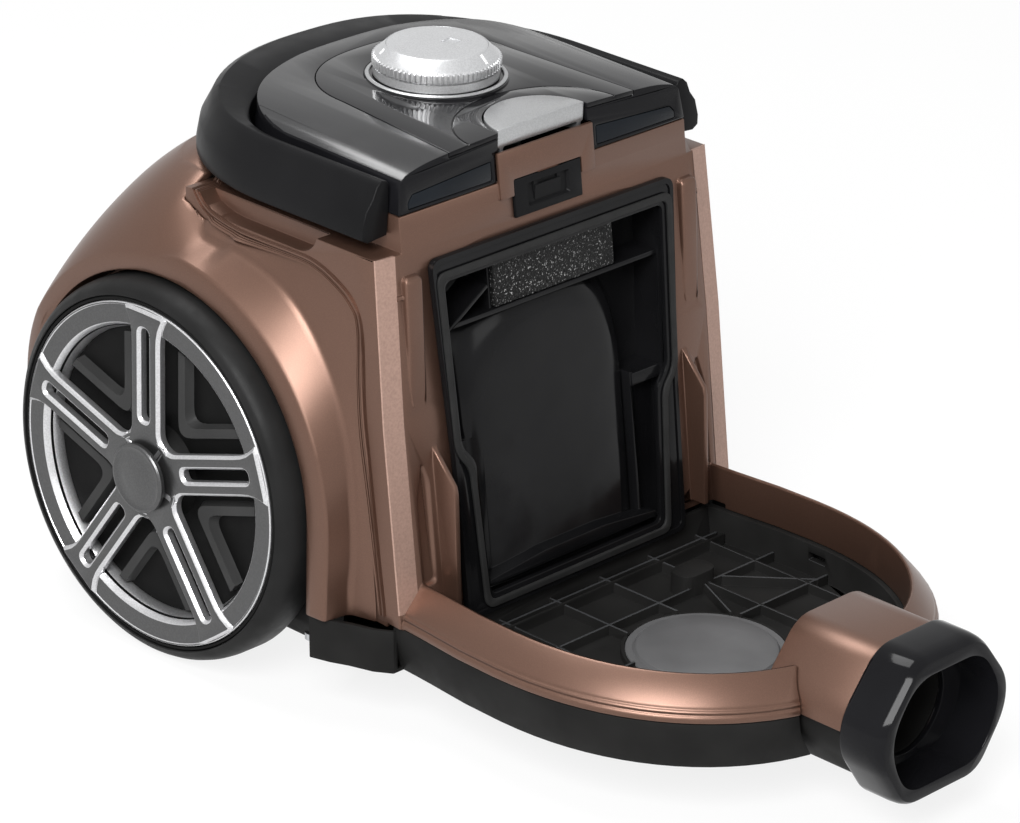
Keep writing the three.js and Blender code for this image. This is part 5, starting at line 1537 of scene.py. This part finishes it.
def motor_cover(wall):
    """The rounded arch of the motor cover at the back of the bay."""
    foot = FRAME[2][1] + MOUTH_INSET + 0.5 + wall

    def arch(inset, depth, power):
        width = ARCH_W - inset - wall
        points = []
        for i in range(49):
            turn = math.pi * i / 48
            across = math.copysign(abs(math.cos(turn)) ** (2 / power), math.cos(turn))
            points.append((ARCH_X + width * across, ARCH_Z + (width + 2) * math.sin(turn) ** (2 / power)))
        points += [(ARCH_X - width, foot), (ARCH_X + width, foot)]
        return [(x, face_y(z) + depth, z) for x, z in points]

    levels = [
        (30, 0, 2), (20, 0.3, 2.05), (12, 0.9, 2.1), (7, 1.8, 2.3), (4, 3, 2.5), (2, 5, 2.9), (0.8, 8, 3.6),
    ]
    rings = [arch(inset, CREST + wall + deep, power) for inset, deep, power in levels]
    return loft(rings + [arch(0, BAY_DEPTH - LINER_WALL, 5), arch(0, BAY_DEPTH + wall, 5)], "cover")


def in_bay(x0, x1, z0, z1, start, end=BAY_DEPTH - LINER_WALL / 2):
    """A block in the bay, which runs to its back wall unless told otherwise."""
    return leaned_box(x0, x1, z0, z1, start, end)


def bay_liner(round_by):
    """Window frame and the shallow bay behind it, with the motor cover, the shelf and the side steps."""
    def hollow(inset, start, end):
        return leaned(softened(grown(FRAME, -MOUTH_INSET - inset), 5), start, end)

    outside = cut(hollow(0, -2.5, BAY_DEPTH), motor_cover(LINER_WALL))
    inside = cut(hollow(LINER_WALL, -5, BAY_DEPTH - LINER_WALL), motor_cover(0))
    window = softened(WINDOW, 4)
    flange = cut(leaned(softened(FRAME, 6), -3, -0.3), leaned(window, -9, 9))
    lip = cut(leaned(softened(FRAME, 6), -3.8, -2.9), leaned(softened(grown(FRAME, -2.2), 5), -9, 9))
    in_wall = MOUTH_INSET + LINER_WALL / 2
    shelf_end = 75 + (SHELF_Z - 124) / 97.5 * 5.4 - in_wall
    step_end = 74 - in_wall + 1
    foot = FRAME[2][1] + in_wall
    fittings = [
        in_bay(-shelf_end, shelf_end, SHELF_Z - 2.2, SHELF_Z, SHELF_NEAR),
        in_bay(-38, -36.3, SHELF_Z - 1, SHELF_Z + 28, CREST),
        in_bay(44.3, 46, SHELF_Z - 1, SHELF_Z + 28, CREST),
        leaned([(-69, 184.5), (-42, 199.5), (-41, 198), (-67, 183.5)], 1.5, BAY_DEPTH - 1),
        in_bay(49.5, 51.5, 60, STEP_Z + 4, 3.5),
        in_bay(50, step_end, 124.5, 130.5, 2.5),
    ]
    for side in (-1, 1):
        fittings.append(in_bay(*beside(side, STEP_X, step_end), foot, STEP_Z, STEP_DEPTH))
    sill = [(-57, 59), (-57, 62), (-20, 65.5), (20, 65.5), (57, 62), (57, 59)]
    fittings.append(leaned(softened(sill, 1.4), -1.5, 6))
    liner = join(flange, cut(outside, inside), *fittings)
    port = in_bay(-30, 38, 190, 204, BAY_DEPTH - 5, BAY_DEPTH + 5)
    liner = rounded(cut(liner, port), round_by)
    return join(liner, lip)


def bay_gasket():
    """The seal round the window, which the bin presses on."""
    outer = leaned(softened(grown(WINDOW, 5.6), 6), -4.8, -3.3)
    return rounded(cut(outer, leaned(softened(grown(WINDOW, 2.2), 5), -9, 9)), 0.5)


def foam_filter():
    """The foam block on the shelf of the bay."""
    return rounded(leaned_box(-36, 44, SHELF_Z + 0.3, 215.3, 3, BAY_DEPTH - 2.3), 0.8)


# ---- Stage ----


CAMERA_TURN = math.radians(-46.48413)
CAMERA_RISE = math.radians(23.86051)
CAMERA_ROLL = math.radians(1.60022)
CAMERA_FAR, CAMERA_AIM = 2378.609, Vector((0, 0, 150))
CAMERA_SIDE, CAMERA_LIFT = 71.2803, -58.5575
CAMERA_LENS, CAMERA_SENSOR, CAMERA_CLIP = 174.24, 36, 60
LAMP_AIM = (0, 0, 0.13)
ROOM_LIGHT, FLOOR_WHITE, FLOOR_HALF = 0.18, 0.85, 7


def place_camera():
    """The camera stands in front, to the left and above, aimed a little beside the middle."""
    back = Vector((
        math.sin(CAMERA_TURN) * math.cos(CAMERA_RISE),
        -math.cos(CAMERA_TURN) * math.cos(CAMERA_RISE),
        math.sin(CAMERA_RISE),
    ))
    right = Vector((math.cos(CAMERA_TURN), math.sin(CAMERA_TURN), 0))
    up = back.cross(right).normalized()
    aim = CAMERA_AIM + right * CAMERA_SIDE + up * CAMERA_LIFT
    right, up = (
        right * math.cos(CAMERA_ROLL) + up * math.sin(CAMERA_ROLL),
        up * math.cos(CAMERA_ROLL) - right * math.sin(CAMERA_ROLL),
    )
    data = bpy.data.cameras.new("Camera")
    data.lens = CAMERA_LENS
    data.sensor_width = CAMERA_SENSOR
    data.clip_end = CAMERA_CLIP
    camera = bpy.data.objects.new("Camera", data)
    spot = aim + back * CAMERA_FAR
    place = (spot.x / 1000, (spot.y + AXLE_Y) / 1000, spot.z / 1000)
    turn = Matrix((right, up, back)).transposed().to_4x4()
    camera.matrix_world = Matrix.Translation(place) @ turn
    bpy.context.collection.objects.link(camera)
    bpy.context.scene.camera = camera


def lamp(name, place, size, power):
    """A soft box that faces the cleaner."""
    data = bpy.data.lights.new(name, "AREA")
    data.shape = "RECTANGLE"
    data.size = size
    data.size_y = size
    data.energy = power
    made = bpy.data.objects.new(name, data)
    made.location = place
    made.rotation_euler = (Vector(place) - Vector(LAMP_AIM)).to_track_quat("Z", "Y").to_euler()
    bpy.context.collection.objects.link(made)


def seen_rays(tree):
    """One for camera, glossy and transmission rays."""
    path = tree.nodes.new("ShaderNodeLightPath")
    seen = path.outputs["Is Camera Ray"]
    for ray in ("Is Glossy Ray", "Is Transmission Ray"):
        most = tree.nodes.new("ShaderNodeMath")
        most.operation = "MAXIMUM"
        tree.links.new(seen, most.inputs[0])
        tree.links.new(path.outputs[ray], most.inputs[1])
        seen = most.outputs[0]
    return seen


def light_world():
    """A dim room for the light, which is white where it is seen or mirrored."""
    world = bpy.data.worlds.new("Studio")
    world.use_nodes = True
    tree = world.node_tree
    out = tree.nodes["World Output"]
    room = tree.nodes["Background"]
    room.inputs["Color"].default_value = (1, 1, 1, 1)
    room.inputs["Strength"].default_value = ROOM_LIGHT
    white = tree.nodes.new("ShaderNodeBackground")
    white.inputs["Strength"].default_value = 1.0
    mix = tree.nodes.new("ShaderNodeMixShader")
    tree.links.new(seen_rays(tree), mix.inputs[0])
    tree.links.new(room.outputs[0], mix.inputs[1])
    tree.links.new(white.outputs[0], mix.inputs[2])
    tree.links.new(mix.outputs[0], out.inputs["Surface"])
    bpy.context.scene.world = world


def lay_floor():
    """A matt floor that takes shadows and is white where it is seen or mirrored."""
    mesh = bpy.data.meshes.new("Floor")
    far = FLOOR_HALF
    mesh.from_pydata([(-far, -far, 0), (far, -far, 0), (far, far, 0), (-far, far, 0)], [], [(0, 1, 2, 3)])
    floor = bpy.data.objects.new("Floor", mesh)
    bpy.context.collection.objects.link(floor)
    made = bpy.data.materials.new("Studio floor")
    made.use_nodes = True
    tree = made.node_tree
    shader = tree.nodes["Principled BSDF"]
    shader.inputs["Base Color"].default_value = (0.9, 0.9, 0.9, 1)
    shader.inputs["Roughness"].default_value = 0.9
    shader.inputs["Specular IOR Level"].default_value = 0.0
    white = tree.nodes.new("ShaderNodeEmission")
    share = tree.nodes.new("ShaderNodeMath")
    share.operation = "MULTIPLY"
    share.inputs[1].default_value = FLOOR_WHITE
    mix = tree.nodes.new("ShaderNodeMixShader")
    tree.links.new(seen_rays(tree), share.inputs[0])
    tree.links.new(share.outputs[0], mix.inputs[0])
    tree.links.new(shader.outputs[0], mix.inputs[1])
    tree.links.new(white.outputs[0], mix.inputs[2])
    tree.links.new(mix.outputs[0], tree.nodes["Material Output"].inputs["Surface"])
    mesh.materials.append(made)


# ---- Panel ----


def color_property(label, text, value):
    return bpy.props.FloatVectorProperty(
        name=label, description=text, default=value, subtype="COLOR", size=3, min=0, max=1
    )


class CleanerColors(bpy.types.PropertyGroup):
    """Colours of the finishes."""

    bronze: color_property("Shell", "Metallic paint of the shells", (0.13, 0.07, 0.049))
    bronze_grained: color_property("Grained shell", "Strips with a moulded grain", (0.36, 0.235, 0.19))
    satin: color_property("Satin black", "Handle and plates", (0.007, 0.007, 0.0075))
    grained: color_property("Grained black", "Base and deck", (0.011, 0.0108, 0.0105))
    cover: color_property("Cover black", "Top of the cover", (0.01, 0.01, 0.011))
    panel: color_property("Panel black", "Polished plate round the dial", (0.012, 0.012, 0.013))
    gloss: color_property("Gloss black", "Collar, window frame and strips", (0.006, 0.006, 0.007))
    strip: color_property("Strip", "Plates let into the front of the cover", (0.008, 0.01, 0.013))
    cap: color_property("Cap grey", "Cap over the caster", (0.09, 0.09, 0.092))
    mark: color_property("Mark", "Lines on the dial", (0.8, 0.8, 0.8))
    bay: color_property("Bay black", "Walls of the bay", (0.005, 0.005, 0.0055))
    tyre: color_property("Tyre", "Treads of the wheels", (0.01, 0.01, 0.01))
    silver: color_property("Silver", "Dial and release key", (0.42, 0.425, 0.43))
    dial: color_property("Dial", "Dial and its cap", (0.6, 0.605, 0.615))
    wheel: color_property("Wheel", "Faces of the rings and spokes", (0.1, 0.1, 0.101))
    # A darker copy of the dial's silver, painted shade on the dial's ridges and skirt.
    skirt: color_property("Dial skirt", "Ridges and skirt of the dial", (0.5, 0.502, 0.508))
    pit: color_property("Wheel dish", "Floor behind the spokes", (0.004, 0.004, 0.004))
    # A painted highlight: the bevels and walls of the trims take this pale copy of the wheel grey.
    edge: color_property("Wheel edge", "Bevels of the rings and spokes", (0.62, 0.62, 0.63))
    frame: color_property("Pocket frame", "Raised frames behind the spokes", (0.03, 0.03, 0.03))
    steel: color_property("Steel", "Pins, bolts, screws and springs", (0.55, 0.56, 0.58))
    # The foam's bright specks, drawn from this colour, are painted glints.
    foam: color_property("Foam", "Foam filter in the bay", (0.012, 0.012, 0.012))
    rubber: color_property("Rubber", "Seals and caster tyre", (0.014, 0.014, 0.014))
    # Besides the real grey parts, this grey is a painted highlight on the tops of the deck ribs.
    grey: color_property("Grey plastic", "Caster cap, fork and small mouldings", (0.035, 0.036, 0.038))
    board: color_property("Circuit board", "Board under the dial", (0.02, 0.12, 0.05))
    paper: color_property("Filter paper", "Exhaust filter", (0.8, 0.79, 0.74))
    copper: color_property("Winding", "Coils of the motor", (0.6, 0.28, 0.12))


class CleanerSizes(bpy.types.PropertyGroup):
    """Sizes that can be changed without touching the frame."""

    edge_round: bpy.props.FloatProperty(
        name="Edge rounding", description="Radius on the edges of the shells", default=0.0007,
        min=0.0002, max=0.002, subtype="DISTANCE", unit="LENGTH",
    )
    fine_round: bpy.props.FloatProperty(
        name="Fine rounding", description="Radius on the edges of small pieces", default=0.0004,
        min=0.0001, max=0.001, subtype="DISTANCE", unit="LENGTH",
    )
    spoke_width: bpy.props.FloatProperty(
        name="Spoke width", description="Width of a twin spoke", default=0.0194,
        min=0.015, max=0.03, subtype="DISTANCE", unit="LENGTH",
    )
    knob_ridges: bpy.props.IntProperty(
        name="Dial ridges", description="Ridges round the dial", default=72, min=24, max=120,
    )


def edge_round():
    """The radius on the edges of shells, in millimetres."""
    return bpy.context.scene.cleaner_sizes.edge_round * 1000


def fine_round():
    """The radius on the edges of small pieces, in millimetres."""
    return bpy.context.scene.cleaner_sizes.fine_round * 1000


class CLEANER_OT_stage(bpy.types.Operator):
    """Camera, floor, room light and lamps"""

    bl_idname = "cleaner.stage"
    bl_label = "Stage"

    def execute(self, context):
        place_camera()
        lay_floor()
        light_world()
        lamp("Key", (-1.75, -0.95, 1.7), 1.25, 90)
        lamp("Top", (-0.1, 0.85, 2.6), 1.2, 40)
        lamp("Front", (0.9, -2.9, 1.5), 1.2, 8)
        return {"FINISHED"}


class CLEANER_OT_shells(bpy.types.Operator):
    """Front and rear housing"""

    bl_idname = "cleaner.shells"
    bl_label = "Shells"

    def execute(self, context):
        stand_in(front_housing(edge_round()), "front_housing", "bronze")
        beads = gather("beads", bead_line(-1), bead_line(1))
        fit(beads, "Side_beads", "body", "bronze")
        strips = gather("strips", corner_strip(-1), corner_strip(1))
        fit(strips, "Corner_strips", "body", "bronze_grained")
        stand_in(rear_housing(edge_round()), "rear_housing", "bronze")
        fine = fine_round()
        stand_in(rewind_pedal(fine), "rewind_pedal", "satin", "pedal")
        stand_in(exhaust_grille(fine), "exhaust_grille", "grained")
        return {"FINISHED"}


class CLEANER_OT_base(bpy.types.Operator):
    """Base tray with its ribbed deck"""

    bl_idname = "cleaner.base"
    bl_label = "Base"

    def execute(self, context):
        tray = stand_in(base_tray(fine_round()), "base_tray", "grained")
        low, high = (DECK_Z + 4.5) / 1000, (DECK_Z + 9.5) / 1000

        # Painted highlight: the small flat tops of the deck ribs take the lighter grey finish instead of the
        # grained black.
        def rib_top_highlight(face):
            return face.normal.z > 0.9 and low < face.center.z < high and face.area < SMALL_FACE

        two_tone(tray, "grey", rib_top_highlight)
        stand_in(caster_cap(), "caster_cap", "cap", "caster")
        return {"FINISHED"}


class CLEANER_OT_bay(bpy.types.Operator):
    """Window frame, bay, gasket and foam"""

    bl_idname = "cleaner.bay"
    bl_label = "Bay"

    def execute(self, context):
        stand_in(bay_liner(fine_round()), "bay_liner", "bay")
        stand_in(bay_gasket(), "bay_gasket", "rubber")
        stand_in(foam_filter(), "foam_filter", "foam")
        return {"FINISHED"}


class CLEANER_OT_top(bpy.types.Operator):
    """Top cover, control panel and front strips"""

    bl_idname = "cleaner.top"
    bl_label = "Top"

    def execute(self, context):
        cover = stand_in(top_cover(edge_round()), "top_cover", "cover")
        two_tone(cover, "gloss", lambda face: face.normal.z < STEEP)
        plate = control_panel(fine_round())
        panel = stand_in(plate, "control_panel", "panel")
        two_tone(panel, "gloss", lambda face: face.normal.z < STEEP)
        for side, name in ((-1, "left"), (1, "right")):
            stand_in(front_strip(side), name + "_front_strip", "strip")
        return {"FINISHED"}


class CLEANER_OT_button(bpy.types.Operator):
    """Release key and latch plate"""

    bl_idname = "cleaner.button"
    bl_label = "Release key"

    def execute(self, context):
        key = release_button(edge_round())
        stand_in(key, "release_button", "silver", "button", "Release_key")
        stand_in(latch_plate(), "latch_plate", "satin")
        return {"FINISHED"}


class CLEANER_OT_knob(bpy.types.Operator):
    """Dial with its knurled band, cap and ring"""

    bl_idname = "cleaner.knob"
    bl_label = "Dial"

    def execute(self, context):
        ridges = context.scene.cleaner_sizes.knob_ridges
        dial = stand_in(knob_body(ridges), "knob", "dial", "power_knob", "Dial")
        bevel = (crown_z(KNOB_Y) + 10) / 1000
        # Painted shade: the knurled band and skirt below the bevel take the darker skirt copy of the dial's
        # silver.
        two_tone(dial, "skirt", lambda face: face.center.z < bevel)
        stand_in(knob_cap(), "knob_cap", "dial", "power_knob", "Dial_cap")
        fit(knob_marks(), "Dial_marks", "power_knob", "mark")
        stand_in(knob_ring(), "knob_ring", "silver", name="Dial_ring")
        return {"FINISHED"}


class CLEANER_OT_handle(bpy.types.Operator):
    """Carry handle"""

    bl_idname = "cleaner.handle"
    bl_label = "Carry handle"

    def execute(self, context):
        stand_in(carry_handle(edge_round()), "carry_handle", "satin", "handle")
        return {"FINISHED"}


class CLEANER_OT_wheels(bpy.types.Operator):
    """Tyres, dishes, trims and caps of both wheels"""

    bl_idname = "cleaner.wheels"
    bl_label = "Wheels"

    def execute(self, context):
        spoke = context.scene.cleaner_sizes.spoke_width * 1000
        for side, name in ((-1, "left"), (1, "right")):
            body = name + "_wheel"
            label = name.capitalize()
            stand_in(tyre(side), name + "_tyre", "tyre", body)
            stand_in(wheel_disc(side), name + "_wheel_disc", "pit", body, label + "_dish")
            fit(pocket_frames(side), label + "_frames", body, "frame")
            trim = wheel_trim(side, spoke)
            trim = stand_in(trim, name + "_wheel_trim", "wheel", body, label + "_trim")
            # Painted highlight: faces not flat to the axle, the bevels and the walls of the slots, take the
            # pale edge finish.
            two_tone(trim, "edge", lambda face: abs(face.normal.x) < BEVEL_HIGHLIGHT_TILT)
            stand_in(hub_cap(side), name + "_hub_cap", "wheel", body, label + "_cap")
        return {"FINISHED"}


class CLEANER_OT_inlet(bpy.types.Operator):
    """Hose inlet: sleeve, duct, collar and seal"""

    bl_idname = "cleaner.inlet"
    bl_label = "Hose inlet"

    def execute(self, context):
        fine = fine_round()
        stand_in(inlet_sleeve(fine), "inlet_sleeve", "bronze")
        stand_in(inlet_duct(fine), "inlet_duct", "grained")
        stand_in(inlet_collar(fine), "inlet_collar", "gloss")
        stand_in(inlet_seal(), "inlet_seal", "steel")
        return {"FINISHED"}


CAD_FINISHES = {
    "satin": ["latch_hook", "motor_bulkhead", "drum_bracket"],
    "grey": ["power_control", "caster_fork", "cord_drum", "spring_case", "brake_lever"],
    "rubber": ["caster_wheel", "front_motor_seal", "rear_motor_mount", "cord_gland"],
    "steel": [
        "left_handle_pin", "right_handle_pin", "left_axle_bolt", "right_axle_bolt", "caster_pin",
        "fan_cover", "fan_impeller", "motor_housing", "pedal_spring", "button_spring",
        "body_screw_1", "body_screw_2", "body_screw_3", "body_screw_4",
    ],
    "copper": ["armature"],
    "board": ["control_board"],
    "paper": ["exhaust_filter"],
}


class CLEANER_OT_insides(bpy.types.Operator):
    """Finishes of the pieces that the frame shapes"""

    bl_idname = "cleaner.insides"
    bl_label = "Inner pieces"

    def execute(self, context):
        for name, nodes in CAD_FINISHES.items():
            for node in nodes:
                piece = bpy.data.objects[node]
                piece.data.materials.clear()
                piece.data.materials.append(look(name))
        return {"FINISHED"}


class CLEANER_PT_panel(bpy.types.Panel):
    """Sizes, colours and steps of the cleaner"""

    bl_idname = "CLEANER_PT_panel"
    bl_label = "Cylinder cleaner"
    bl_space_type = "VIEW_3D"
    bl_region_type = "UI"
    bl_category = "Cleaner"

    def draw(self, context):
        for group in (context.scene.cleaner_sizes, context.scene.cleaner_colors):
            column = self.layout.column()
            for name in group.__annotations__:
                column.prop(group, name)
        column = self.layout.column()
        for step in STEPS:
            column.operator(step.bl_idname)


STEPS = (
    CLEANER_OT_stage, CLEANER_OT_shells, CLEANER_OT_base, CLEANER_OT_bay, CLEANER_OT_top,
    CLEANER_OT_button, CLEANER_OT_knob, CLEANER_OT_handle, CLEANER_OT_wheels, CLEANER_OT_inlet,
    CLEANER_OT_insides,
)
CLASSES = (CleanerColors, CleanerSizes, *STEPS, CLEANER_PT_panel)


def register():
    for kind in CLASSES:
        bpy.utils.register_class(kind)
    bpy.types.Scene.cleaner_colors = bpy.props.PointerProperty(type=CleanerColors)
    bpy.types.Scene.cleaner_sizes = bpy.props.PointerProperty(type=CleanerSizes)


def unregister():
    del bpy.types.Scene.cleaner_sizes
    del bpy.types.Scene.cleaner_colors
    for kind in reversed(CLASSES):
        bpy.utils.unregister_class(kind)


def main():
    register()
    bpy.context.scene.view_settings.view_transform = "Standard"
    for step in STEPS:
        group, name = step.bl_idname.split(".")
        getattr(getattr(bpy.ops, group), name)()


if __name__ == "__main__":
    main()
